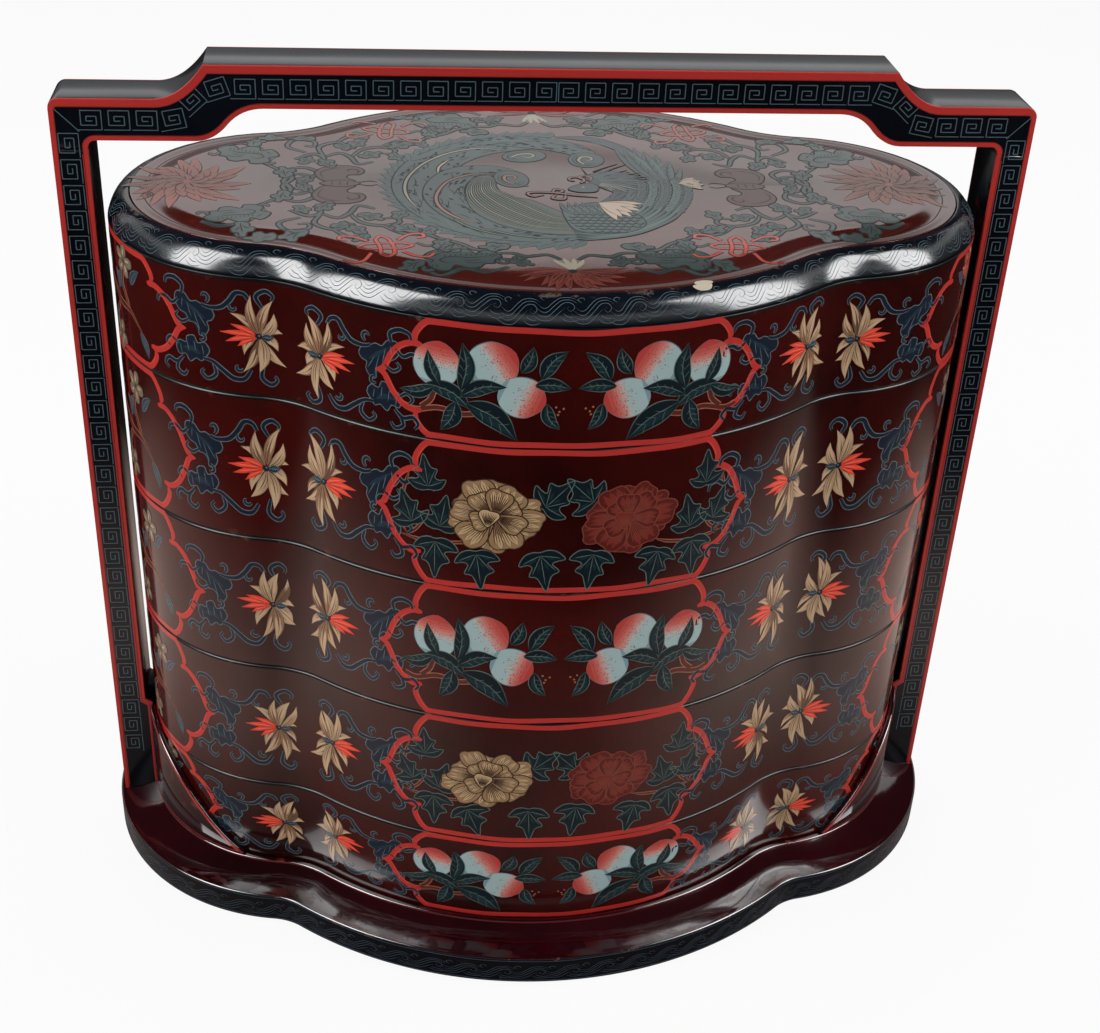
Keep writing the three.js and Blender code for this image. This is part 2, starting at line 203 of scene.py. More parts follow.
class Nodes:
    """The node tree of a material or a world, built step by step."""

    def __init__(self, owner):
        owner.use_nodes = True
        self.owner = owner
        self.tree = owner.node_tree
        self.shader = self.tree.nodes.get("Principled BSDF")
        self.coordinates = None

    def node(self, kind, inputs=None, **settings):
        node = self.tree.nodes.new(kind)
        for key, value in settings.items():
            setattr(node, key, value)
        for key, value in (inputs or {}).items():
            self.feed(node.inputs[key], value)
        return node

    def feed(self, socket, value):
        if isinstance(value, bpy.types.NodeSocket):
            self.tree.links.new(value, socket)
        else:
            socket.default_value = value

    def place(self):
        if self.coordinates is None:
            self.coordinates = self.node("ShaderNodeTexCoord").outputs["Object"]
        return self.coordinates

    def noise(self, scale, detail, roughness, distortion=0.0, stretch=None):
        place = self.place()
        if stretch:
            place = self.node("ShaderNodeMapping", {"Vector": place, "Scale": stretch}).outputs["Vector"]
        inputs = {
            "Vector": place, "Scale": scale, "Detail": detail, "Roughness": roughness,
            "Distortion": distortion,
        }
        return self.node("ShaderNodeTexNoise", inputs).outputs["Fac"]

    def span(self, value, low, high, to_low=0.0, to_high=1.0):
        inputs = {"Value": value, "From Min": low, "From Max": high, "To Min": to_low, "To Max": to_high}
        return self.node("ShaderNodeMapRange", inputs).outputs["Result"]

    def maths(self, operation, first, second):
        node = self.node("ShaderNodeMath", operation=operation)
        self.feed(node.inputs[0], first)
        self.feed(node.inputs[1], second)
        return node.outputs["Value"]

    def mix(self, share, first, second):
        node = self.node("ShaderNodeMix", data_type="RGBA")
        self.feed(node.inputs[0], share)
        self.feed(node.inputs[6], first)
        self.feed(node.inputs[7], second)
        return node.outputs[2]

    def bump(self, height, distance):
        inputs = {"Height": height, "Distance": distance, "Strength": 1.0}
        self.feed(self.shader.inputs["Normal"], self.node("ShaderNodeBump", inputs).outputs["Normal"])

    def shine(self, **values):
        for key, value in values.items():
            self.feed(self.shader.inputs[key.replace("_", " ")], value)


def new_material(name):
    return Nodes(bpy.data.materials.new(name))


def lacquer(
    name, deep, bright, worn, gloss, coat=0.35, wave=0.00005, skin=0.06, shine=0.4, tint=(1, 1, 1, 1),
):
    """Old hand-laid lacquer: cloudy colour, specks, rubbed patches and rims, and a slightly wavy skin."""
    nodes = new_material(name)
    clouds = nodes.span(nodes.noise(9.0, 5.0, 0.6, 0.4), 0.32, 0.7)
    colour = nodes.mix(clouds, deep, bright)
    streaks = nodes.span(nodes.noise(40.0, 4.0, 0.65, stretch=(1.0, 1.0, 0.35)), 0.55, 0.8, 0.0, 0.35)
    colour = nodes.mix(streaks, colour, bright)
    rim = nodes.node("ShaderNodeAttribute", attribute_name="rim").outputs["Fac"]
    patches = nodes.span(nodes.noise(70.0, 5.0, 0.7), 0.58, 0.68)
    rubbed = nodes.maths("MULTIPLY", rim, patches)
    colour = nodes.mix(rubbed, colour, worn)
    nodes.feed(nodes.shader.inputs["Base Color"], colour)
    smudges = nodes.span(nodes.noise(16.0, 6.0, 0.62), 0.3, 0.72, gloss, gloss + 0.08)
    roughness = nodes.maths("ADD", smudges, nodes.maths("MULTIPLY", rubbed, 0.2))
    nodes.feed(nodes.shader.inputs["Roughness"], roughness)
    nodes.shine(Coat_Weight=coat, Coat_Roughness=skin, Specular_IOR_Level=shine, Specular_Tint=tint)
    slow = nodes.noise(55.0, 2.0, 0.5)
    fine = nodes.maths("MULTIPLY", nodes.noise(420.0, 2.0, 0.5), 0.12)
    nodes.bump(nodes.maths("ADD", slow, fine), wave)
    return nodes.owner


def paint(name, colour, gloss):
    """Painted ornament under the gloss. A gloss of 0 is an engraved line, which is matt."""
    nodes = new_material(name)
    nodes.shine(
        Base_Color=colour, Roughness=0.3, Specular_IOR_Level=0.25 * gloss, Coat_Weight=0.35 * gloss,
        Coat_Roughness=0.07,
    )
    return nodes.owner


WALL_LACQUER = lacquer("wall_lacquer", srgb(31, 4, 4), srgb(65, 9, 6), srgb(86, 32, 24), 0.1)
BLACK_LACQUER = lacquer(
    "black_lacquer", srgb(3, 6, 12), srgb(6, 12, 22), srgb(72, 60, 52), 0.14, coat=0.22, skin=0.12,
    shine=0.34,
)
FLANGE_LACQUER = lacquer(
    "flange_lacquer", srgb(24, 1, 4), srgb(44, 3, 9), srgb(96, 32, 28), 0.05, coat=0.6, wave=0.00012,
    skin=0.02,
)
LID_LACQUER = lacquer(
    "lid_lacquer", srgb(44, 10, 8), srgb(64, 18, 12), srgb(112, 54, 40), 0.11, coat=0.26, shine=0.6,
    tint=(1.0, 0.84, 0.8, 1.0),
)
INNER_LACQUER = lacquer("inner_lacquer", srgb(28, 6, 7), srgb(42, 10, 10), srgb(70, 34, 26), 0.4)
RIM_LACQUER = lacquer(
    "rim_lacquer", srgb(6, 4, 5), srgb(14, 8, 8), srgb(84, 50, 40), 0.3, coat=0.1, shine=0.2,
)


# Meshes


def make(name, points, faces, materials, body, face_materials=None, rim=None, angle=40):
    """A closed piece from points in mm. rim is 1 on worn edges."""
    mesh = bpy.data.meshes.new(name)
    mesh.from_pydata((np.asarray(points) * MM).tolist(), [], faces)
    for material in materials:
        mesh.materials.append(material)
    if face_materials is not None:
        mesh.polygons.foreach_set("material_index", np.asarray(face_materials, np.int32))
    if rim is not None:
        mesh.attributes.new("rim", "FLOAT", "POINT").data.foreach_set("value", np.asarray(rim, np.float32))
    mesh.validate()
    if signed_volume(points, faces) < 0:
        mesh.flip_normals()
    mesh.shade_smooth()
    mesh.set_sharp_from_angle(angle=math.radians(angle))
    mesh.update()
    piece = add(name, mesh)
    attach(piece, body)
    return piece


def add(name, data):
    piece = bpy.data.objects.new(name, data)
    bpy.context.scene.collection.objects.link(piece)
    return piece


def signed_volume(points, faces):
    points = np.asarray(points)
    total = 0.0
    for face in faces:
        first = points[face[0]]
        for second, third in zip(face[1:-1], face[2:]):
            total += np.dot(first, np.cross(points[second], points[third]))
    return total


def rounded(profile, steps=4):
    """A closed profile of (offset, height, radius) corners, each corner cut to an arc."""
    corners = np.array([row[:2] for row in profile], float)
    result = []
    for index, (*_, radius) in enumerate(profile):
        corner = corners[index]
        if radius == 0:
            result.append(corner)
            continue
        back = corners[index - 1] - corner
        ahead = corners[(index + 1) % len(corners)] - corner
        back /= np.hypot(*back)
        ahead /= np.hypot(*ahead)
        half = math.acos(np.clip(back @ ahead, -1, 1)) / 2
        reach = radius / math.tan(half)
        middle = corner + (back + ahead) / np.hypot(*(back + ahead)) * radius / math.sin(half)
        start = corner + back * reach - middle
        end = corner + ahead * reach - middle
        for share in np.linspace(0, 1, steps + 1):
            ray = start * (1 - share) + end * share
            result.append(middle + ray / np.hypot(*ray) * radius)
    return np.array(result)


def grid_faces(rows, columns, wrap_rows, wrap_columns):
    index = np.arange(rows * columns).reshape(rows, columns)
    if wrap_rows:
        index = np.vstack([index, index[:1]])
    if wrap_columns:
        index = np.hstack([index, index[:, :1]])
    return np.stack([index[:-1, :-1], index[1:, :-1], index[1:, 1:], index[:-1, 1:]], -1).reshape(-1, 4)


TRAVELS = np.arange(PLAN_SAMPLES) / PLAN_SAMPLES * ROUND - ROUND / 2
PLAN_POINTS, PLAN_NORMALS = plan_at(TRAVELS)


def ring(offset, height):
    flat = PLAN_POINTS + offset * PLAN_NORMALS
    return np.column_stack([flat, np.broadcast_to(height, len(flat))])


def hoop(name, profile, body, materials, slot_of=None, rim_of=None):
    """A closed profile of (offset, height) points carried round the plan.

    slot_of and rim_of give the material's number and the wear at an offset and height.
    """
    profile = np.asarray(profile)
    points = np.stack([ring(offset, height) for offset, height in profile], 1)
    faces = grid_faces(len(points), len(profile), True, True)
    middles = (profile + np.roll(profile, -1, 0)) / 2
    slots = None
    if slot_of:
        slots = np.tile([slot_of(*middle) for middle in middles], len(points))
    rims = np.tile([rim_of(*point) if rim_of else 0.0 for point in profile], len(points))
    return make(name, points.reshape(-1, 3), faces.tolist(), materials, body, slots, rims)


def outline_normals(outline):
    """Mitred outward normals of a closed anticlockwise outline."""
    edges = np.roll(outline, -1, 0) - outline
    edges /= np.hypot(*edges.T)[:, None]
    normals = np.column_stack([edges[:, 1], -edges[:, 0]])
    before = np.roll(normals, 1, 0)
    return (before + normals) / (1 + (before * normals).sum(1))[:, None]


def sawn(name, outline, trim):
    """A frame piece from its side view in X and Z. Its softened edges carry the trim, but not its ends."""
    outline = np.asarray(outline, float)
    normals = outline_normals(outline)
    face, bevel = FRAME_DEPTH / 2, FRAME_BEVEL
    turns = np.linspace(0, math.pi / 2, 4)
    front = [
        (bevel + 1.5, face),
        *((bevel * (1 - math.sin(t)), face - bevel * (1 - math.cos(t))) for t in turns),
    ]
    rows = [(inset, -y) for inset, y in front] + [(inset, y) for inset, y in reversed(front)]
    points = np.stack([np.insert(outline - inset * normals, 1, y, axis=1) for inset, y in rows])
    size = len(outline)
    faces = grid_faces(len(rows), size, False, True).tolist()
    middle = (outline + np.roll(outline, -1, 0)) / 2
    ends = [round(POST_HEAD, 1), round(POST_HEAD - JOINT_GAP, 1), POST_FOOT]
    at_end = np.isin(middle[:, 1].round(1), ends)
    softened = np.array([0 < row[0] <= bevel for row in rows])
    trimmed = (softened[:-1] | softened[1:])[:, None] & ~at_end
    last = (len(rows) - 1) * size
    faces.append(list(range(size))[::-1])
    faces.append(list(range(last, last + size)))
    slots = [*trimmed.ravel().astype(int), 0, 0]
    rims = np.repeat([1.0 if soft else 0.0 for soft in softened], size)
    return make(name, points.reshape(-1, 3), faces, [BLACK_LACQUER, trim], "base", slots, rims, 35)


def arc(centre, radius, start, end, steps):
    turns = np.linspace(start, end, steps + 1)
    return [(centre[0] + radius * math.cos(t), centre[1] + radius * math.sin(t)) for t in turns]


def bend(start, control, end, steps):
    """A quadratic curve."""
    start, control, end = (np.array(p, float) for p in (start, control, end))
    return [
        tuple((1 - t) ** 2 * start + 2 * t * (1 - t) * control + t**2 * end)
        for t in np.linspace(0, 1, steps + 1)
    ]


def mirrored(path):
    """The path on the left side, from its other end."""
    return [(-x, z) for x, z in reversed(path)]


# Trays and lid walls


def wall(name, bottom, height, body, node, top_round=1.0):
    rim_top, rim_bottom, flank, worn = 1.7, 1.1, 4, 3
    profile = rounded([
        (-WALL, 0, 0.6), (0, 0, 0.8), (0, rim_bottom, 0), (0, flank, 0), (0, height - flank, 0),
        (0, height - rim_top, 0), (0, height, top_round), (-WALL, height, 0.6),
    ])
    profile[:, 1] += bottom

    def slot_of(offset, level):
        on_rim = level > bottom + height - rim_top or level < bottom + rim_bottom
        return int(on_rim) if offset > -WALL / 2 else 2

    def rim_of(_, level):
        return 1.0 if level > bottom + height - worn or level < bottom + worn else 0.0

    piece = hoop(name, profile, body, [WALL_LACQUER, RIM_LACQUER, INNER_LACQUER], slot_of, rim_of)
    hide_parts(node)


for tray, tray_bottom in TRAY_BOTTOMS.items():
    wall(f"{tray}_hoop", tray_bottom, TRAY_HEIGHTS[tray], tray, f"{tray}_wall")
wall("lid_hoop", LID_BOTTOM, SKIRT_HEIGHT, "lid", "lid_skirt", 0.25)

# The trays' boards, the base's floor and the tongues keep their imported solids
for node_name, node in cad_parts.items():
    if node_name.endswith(("_board", "_floor", "_tongue")):
        finish = BLACK_LACQUER if node_name.endswith("_tongue") else INNER_LACQUER
        for material_slot in node.material_slots:
            material_slot.link = "OBJECT"
            material_slot.material = finish


def shoulder_point(share, lift=0.0):
    """Offset and height on the shoulder, from its lower edge to its top. It starts already leaning in."""
    turn = SHOULDER_START + (math.pi / 2 - SHOULDER_START) * share
    width, rise = SHOULDER_WIDTH / math.cos(SHOULDER_START), SHOULDER_RISE / (1 - math.sin(SHOULDER_START))
    across, up = np.cos(turn) / width, np.sin(turn) / rise
    length = np.hypot(across, up)
    return (
        width * np.cos(turn) - SHOULDER_WIDTH + lift * across / length,
        SKIRT_TOP + rise * (np.sin(turn) - math.sin(SHOULDER_START)) + lift * up / length,
    )


def lid_shoulder():
    curve = [shoulder_point(share) for share in np.linspace(0.03, 0.94, 14)]
    edge, seat = -SHOULDER_WIDTH, SHOULDER_TOP - LID_BOARD
    ledge, under = edge - SHOULDER_LEDGE, SKIRT_TOP + JOINT_GAP
    profile = curve + [
        (edge + 0.35, SHOULDER_TOP - 0.02), (edge, SHOULDER_TOP - 0.3), (edge, seat), (ledge, seat),
        (ledge, under), (-0.2, under),
    ]
    piece = hoop(
        "lid_moulding", profile, "lid", [BLACK_LACQUER],
        rim_of=lambda _, level: 1.0 if level > SHOULDER_TOP - 1.0 else 0.0,
    )
    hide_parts("lid_shoulder")


lid_shoulder()


def lid_top():
    """Rings set in from the edge, then drawn together to the middle."""
    underside = SHOULDER_TOP - LID_BOARD + JOINT_GAP
    edge = SHOULDER_WIDTH + JOINT_GAP
    rings = [ring(-edge, underside), ring(-edge, SHOULDER_TOP - 0.75)]
    insets = (*range(1, 9), *np.arange(9.5, 19, 1.5), 21, 25, 31, *range(38, 79, 8))
    flats = [PLAN_POINTS - (edge + inset) * PLAN_NORMALS for inset in (0.25, *insets)]
    flats += [flats[-1] * share for share in (0.86, 0.72, 0.58, 0.44, 0.3, 0.15)]
    rings += [np.column_stack([flat, lid_height(*flat.T)]) for flat in flats]
    size = PLAN_SAMPLES
    points = np.vstack(rings + [[[0, 0, lid_height(0.0, 0.0)]], [[0, 0, underside]]])
    faces = grid_faces(len(rings), size, False, True)[:, ::-1].tolist()
    last = (len(rings) - 1) * size
    hub, floor = len(points) - 2, len(points) - 1
    faces += [[last + i, last + (i + 1) % size, hub] for i in range(size)]
    faces += [[(i + 1) % size, i, floor] for i in range(size)]
    rims = np.zeros(len(points))
    rims[size:3 * size] = 1.0
    piece = make("lid_top", points, faces, [LID_LACQUER], "lid", rim=rims)
    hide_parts("lid_board")


lid_top()


# Base


def base():
    top = EDGE_HEIGHT - FLANGE_EDGE - JOINT_GAP
    edge = hoop(
        "base_edge",
        rounded([
            (HOOP_INNER, 0, 0), (OVERHANG, 0, 0.8), (OVERHANG, top, 0), (HOOP_INNER, top, 0),
        ]),
        "base", [BLACK_LACQUER], rim_of=lambda _, level: 1.0 if level < 2 else 0.0,
    )
    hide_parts("base_hoop")

    start, end = OVERHANG - 2.4, LIP_OUTER + 1.2
    cove = []
    for share in np.linspace(0, 1, 14):
        rise = 1.9 * share + 3.1 * (1 - math.cos(share * math.pi / 2)) ** 1.3
        cove.append((start + (end - start) * share, EDGE_HEIGHT + rise, 0))
    inside, under = HOOP_INNER - JOINT_GAP, EDGE_HEIGHT - FLANGE_EDGE
    profile = rounded([
        (inside, 0, 0), (inside, under, 0), (OVERHANG, under, 0), (OVERHANG, EDGE_HEIGHT, 1.1), *cove,
        (LIP_OUTER, EDGE_HEIGHT + 5.6, 0), (LIP_OUTER, LIP_HEIGHT, 0.9), (LIP_INNER, LIP_HEIGHT, 0.9),
        (LIP_INNER, FLOOR_UNDER, 0), (FLOOR_LEDGE, FLOOR_UNDER, 0), (FLOOR_LEDGE, 0, 0),
    ])
    flange = hoop(
        "base_cove", profile, "base", [FLANGE_LACQUER, BLACK_LACQUER],
        lambda offset, level: int(offset > OVERHANG - 0.9 and level < EDGE_HEIGHT - 0.4),
        lambda offset, level: 1.0 if level > LIP_HEIGHT - 1 or offset > OVERHANG - 1 else 0.0,
    )
    cutters = []
    for side in (-1, 1):
        low = np.array([HALF_LENGTH - WALL, -FRAME_DEPTH / 2 - JOINT_GAP, EDGE_HEIGHT - 0.5])
        high = np.array([POST_OUTER + JOINT_GAP, FRAME_DEPTH / 2 + JOINT_GAP, LIP_HEIGHT + 1])
        corners = np.array([[x, y, z] for x in (0, 1) for y in (0, 1) for z in (0, 1)])
        points = (low + corners * (high - low)) * [side, 1, 1]
        faces = [[0, 1, 3, 2], [4, 6, 7, 5], [0, 4, 5, 1], [2, 3, 7, 6], [0, 2, 6, 4], [1, 5, 7, 3]]
        mesh = bpy.data.meshes.new("seat")
        mesh.from_pydata((points * MM).tolist(), [], faces)
        if signed_volume(points, faces) < 0:
            mesh.flip_normals()
        cutter = add("seat", mesh)
        modifier = flange.modifiers.new("seat", "BOOLEAN")
        modifier.operation = "DIFFERENCE"
        modifier.solver = "EXACT"
        modifier.object = cutter
        cutters.append(cutter)
    graph = bpy.context.evaluated_depsgraph_get()
    cut = bpy.data.meshes.new_from_object(flange.evaluated_get(graph))
    flange.modifiers.clear()
    flange.data = cut
    for cutter in cutters:
        bpy.data.objects.remove(cutter)
    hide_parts("base_flange")


base()


def fence_top(share):
    fall = np.cos(share * math.pi / 2) ** 1.2
    return LIP_HEIGHT + JOINT_GAP + FENCE_LOW + (FENCE_HIGH - FENCE_LOW) * fall


def fence(name, side_x, side_y):
    """A thin cheek on the lip, high at the post, that sweeps down along the end lobe."""
    steps = 60
    bottom = LIP_HEIGHT + JOINT_GAP
    rows, rims = [], []
    for share in np.linspace(0, 1, steps + 1):
        point, normal = plan_at(QUARTER - FENCE_START - FENCE_LENGTH * share)
        top = fence_top(share)
        section = rounded([
            (LIP_INNER, bottom, 0), (LIP_OUTER, bottom, 0), (LIP_OUTER, top, 0.9), (LIP_INNER, top, 0.9),
        ], 3)
        rows.append([(*(point + offset * normal), level) for offset, level in section])
        rims.append([1.0 if level > top - 2 else 0.0 for _, level in section])
    points = np.array(rows)
    count = points.shape[1]
    points = points.reshape(-1, 3) * [side_x, -side_y, 1]
    faces = grid_faces(steps + 1, count, False, True).tolist()
    faces.append(list(range(count))[::-1])
    faces.append(list(range(steps * count, (steps + 1) * count)))
    piece = make(f"{name}_cheek", points, faces, [FLANGE_LACQUER], "base", rim=np.ravel(rims))
    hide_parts(name)


for side_name, side_x in (("left", -1), ("right", 1)):
    for face_name, side_y in (("front", -1), ("back", 1)):
        fence(f"fence_{side_name}_{face_name}", side_x, side_y)


# Carrying frame

BAR_TOP = (
    arc((POST_OUTER - BAR_CORNER, BAR_SHOULDER - BAR_CORNER), BAR_CORNER, 0, math.pi / 2, 6)
    + bend((199, BAR_SHOULDER), (186, BAR_SHOULDER + 0.5), (174, RAISED_TOP), 14)
)
BAR_UNDERSIDE = (
    bend((145.5, RAISED_UNDER), (156, RAISED_UNDER), (163, 443.2), 8)[:-1]
    + bend((163, 443.2), (170.4, BAR_UNDER), (180, BAR_UNDER), 8)
    + arc((POST_INNER - POST_CORNER, POST_HEAD), POST_CORNER, math.pi / 2, 0, 5)
)


def carrying_frame():
    outline = (
        mirrored(BAR_TOP) + [(-POST_OUTER, POST_HEAD)]
        + mirrored(BAR_UNDERSIDE) + BAR_UNDERSIDE + [(POST_OUTER, POST_HEAD)] + BAR_TOP
    )
    trim = paint("frame_trim", srgb(168, 40, 35), 1.0)
    bar = sawn("bar", outline, trim)
    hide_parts("carrying_bar")
    for name, side in (("left_post", -1), ("right_post", 1)):
        half = [
            (FOOT_INNER, POST_FOOT), (POST_OUTER, POST_FOOT), (POST_OUTER, POST_HEAD - JOINT_GAP),
            (POST_INNER, POST_HEAD - JOINT_GAP), (POST_INNER, FOOT_TOP + FOOT_STEP),
            (FOOT_INNER, FOOT_TOP),
        ]
        outline = [(side * x, z) for x, z in half][::side]
        piece = sawn(f"{name}_upright", outline, trim)
        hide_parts(name)


carrying_frame()


# Painting: inks, shapes of strokes, drawings and pens

INKS = {
    "coral": (180, 43, 37), "coral_light": (208, 74, 56), "coral_dark": (112, 22, 24),
    "tuft": (222, 62, 42), "tuft_light": (236, 104, 76),
    "tan": (138, 102, 74), "tan_pale": (168, 136, 104), "tan_deep": (108, 76, 54),
    "cream": (190, 158, 124), "tan_line": (62, 38, 30),
    "navy": (13, 27, 43), "navy_light": (28, 46, 60), "navy_line": (92, 110, 116),
    "teal": (9, 27, 34), "teal_light": (18, 44, 50), "teal_line": (86, 104, 98),
    "peach_shade": (118, 146, 154), "peach_white": (156, 178, 178), "peach_1": (176, 172, 166),
    "peach_2": (186, 154, 146), "peach_3": (192, 132, 122), "peach_4": (192, 110, 100),
    "peach_5": (190, 92, 82), "peach_6": (184, 76, 68), "peach_7": (176, 58, 52),
    "stem": (84, 34, 26), "stem_line": (156, 94, 70), "bare": (48, 12, 10),
    "pale_petal": (118, 104, 86), "rose_petal": (178, 72, 50),
    "red_petal": (90, 23, 18), "red_light": (118, 38, 28), "red_line": (124, 56, 42),
    "cream_petal": (146, 114, 80), "cream_light": (186, 156, 116), "cream_line": (56, 32, 22),
    "lid_leaf": (46, 58, 56), "lid_leaf_line": (28, 33, 33), "lid_vine": (46, 56, 54),
    "lid_blue": (44, 60, 60), "lid_blue_light": (60, 80, 78), "lid_blue_line": (26, 34, 36),
    "lid_plume": (52, 62, 54), "lid_plume_light": (88, 96, 80), "lid_dark": (34, 40, 48),
    "lid_pale": (128, 122, 106), "lid_cream": (166, 146, 126), "lid_rose": (132, 80, 70),
    "lid_red": (62, 24, 20), "lid_petal": (90, 42, 35), "lid_orange": (112, 58, 40),
    "lid_coral": (156, 58, 46), "lid_outline": (36, 16, 14), "lid_ruddy": (128, 64, 50),
    "fret": (72, 92, 100), "wave": (76, 92, 99), "edge_wave": (62, 78, 92), "chip": (168, 158, 138),
}
# Every other ink has a gloss of 1
GLOSS = {"lid_leaf_line": 0.25, "lid_blue_line": 0.25, "lid_outline": 0.25, "wave": 0}
PAINTS = {}

# Ink stands off the surface by INK_LIFT and dips under it at its edges, over INK_EDGE. Strokes of one
# layer differ in height by small steps, so that those that cross seldom share a plane.
INK_LIFT, INK_EDGE, SUNK = 0.05, 0.05, -0.04
STAGGER, STAGGER_STEPS = 0.018, 19


def ink_material(name):
    if name not in PAINTS:
        PAINTS[name] = paint(f"paint_{name}", srgb(*INKS[name]), GLOSS.get(name, 1.0))
    return PAINTS[name]


def leaf_shape(share):
    return np.sin(np.pi * share**0.8)


def petal_shape(share):
    return np.sin(np.pi * np.clip(share, 0, 1) ** 1.25) ** 0.8 * 0.9 + 0.1 * (1 - share)


def round_shape(share):
    return np.sqrt(np.clip(1 - (2 * share - 1) ** 2, 0, 1))


def comma_shape(share):
    return (1 - share) ** 0.7


def even_shape(share):
    return np.ones_like(share)


def tapered_shape(share):
    return np.clip(np.minimum(share, 1 - share) * 5, 0.25, 1)


def smooth(points, step, closed=False):
    """A curve through the points, with a sample about every step."""
    points = np.asarray(points, float)
    if closed:
        padded = np.vstack([points[-1:], points, points[:2]])
    else:
        padded = np.vstack([2 * points[0] - points[1], points, 2 * points[-1] - points[-2]])
    pieces = []
    for a, b, c, d in zip(padded, padded[1:], padded[2:], padded[3:]):
        count = max(1, math.ceil(math.dist(b, c) / step))
        t = np.arange(count)[:, None] / count
        bend_in, bend_out = 2 * a - 5 * b + 4 * c - d, 3 * b - a - 3 * c + d
        pieces.append(b + (c - a) * t / 2 + bend_in * t**2 / 2 + bend_out * t**3 / 2)
    pieces.append(points[:1] if closed else points[-1:])
    return np.vstack(pieces)


class Drawing:
    """Sheets of ink on a flat plane, in mm, that are laid on the box all at once."""

    def __init__(self, thickness=0.026):
        self.thickness = thickness
        self.points, self.lifts, self.faces, self.inks = [], [], [], []
        self.count = 0
        self.names = []

    def sheet(self, grid, lifts, inks):
        rows, columns = grid.shape[:2]
        self.points.append(grid.reshape(-1, 2))
        self.lifts.append(lifts.ravel())
        self.faces.append(grid_faces(rows, columns, False, False) + self.count)
        self.count += rows * columns
        names = [inks] * (rows - 1) if isinstance(inks, str) else inks
        for name in names:
            if name not in self.names:
                self.names.append(name)
        self.inks.append(np.repeat([self.names.index(name) for name in names], columns - 1))

    def lay(self, name, body, surfaces, wobble=0.0, seed=0):
        """Lays the drawing on each surface, which turns flat points and lifts into places on the box."""
        flat, lift = np.vstack(self.points), np.concatenate(self.lifts)
        faces, inks = np.vstack(self.faces), np.concatenate(self.inks)
        if wobble:
            flat = flat + wobble * hand_shake(flat, seed)
        first, second, third, fourth = (flat[faces[:, corner]] for corner in range(4))
        across, along = third - first, fourth - second
        turned = across[:, 0] * along[:, 1] - across[:, 1] * along[:, 0] < 0
        faces[turned] = faces[turned][:, ::-1]
        places, normals, sides = [], [], []
        for number, surface in enumerate(surfaces):
            low, high = surface(flat, lift), surface(flat, lift + 1)
            places.append(low)
            normals.append(high - low)
            sides.append(faces + number * len(flat))
        places, normals, sides = np.vstack(places), np.vstack(normals), np.vstack(sides)
        normals /= np.linalg.norm(normals, axis=1)[:, None]
        mesh = bpy.data.meshes.new(name)
        mesh.vertices.add(len(places))
        mesh.vertices.foreach_set("co", (places * MM).astype(np.float32).ravel())
        mesh.loops.add(sides.size)
        mesh.loops.foreach_set("vertex_index", sides.astype(np.int32).ravel())
        mesh.polygons.add(len(sides))
        mesh.polygons.foreach_set("loop_start", np.arange(0, sides.size, 4, dtype=np.int32))
        mesh.polygons.foreach_set("material_index", np.tile(inks, len(surfaces)).astype(np.int32))
        mesh.update(calc_edges=True)
        for ink in self.names:
            mesh.materials.append(ink_material(ink))
        mesh.shade_smooth()
        mesh.normals_split_custom_set_from_vertices(normals.tolist())
        piece = add(name, mesh)
        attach(piece, body)
        return piece


def hand_shake(flat, seed):
    """Slow waves that make each copy of a motif a little different, as hand painting does."""
    waves = np.random.default_rng(seed).uniform(0, TURN, (2, 3))
    x, y = flat.T
    return np.column_stack([
        sum(np.sin(x / length + y / (length * 1.3) + phase) / 2 for length, phase in zip((7, 13, 29), row))
        for row in waves
    ])


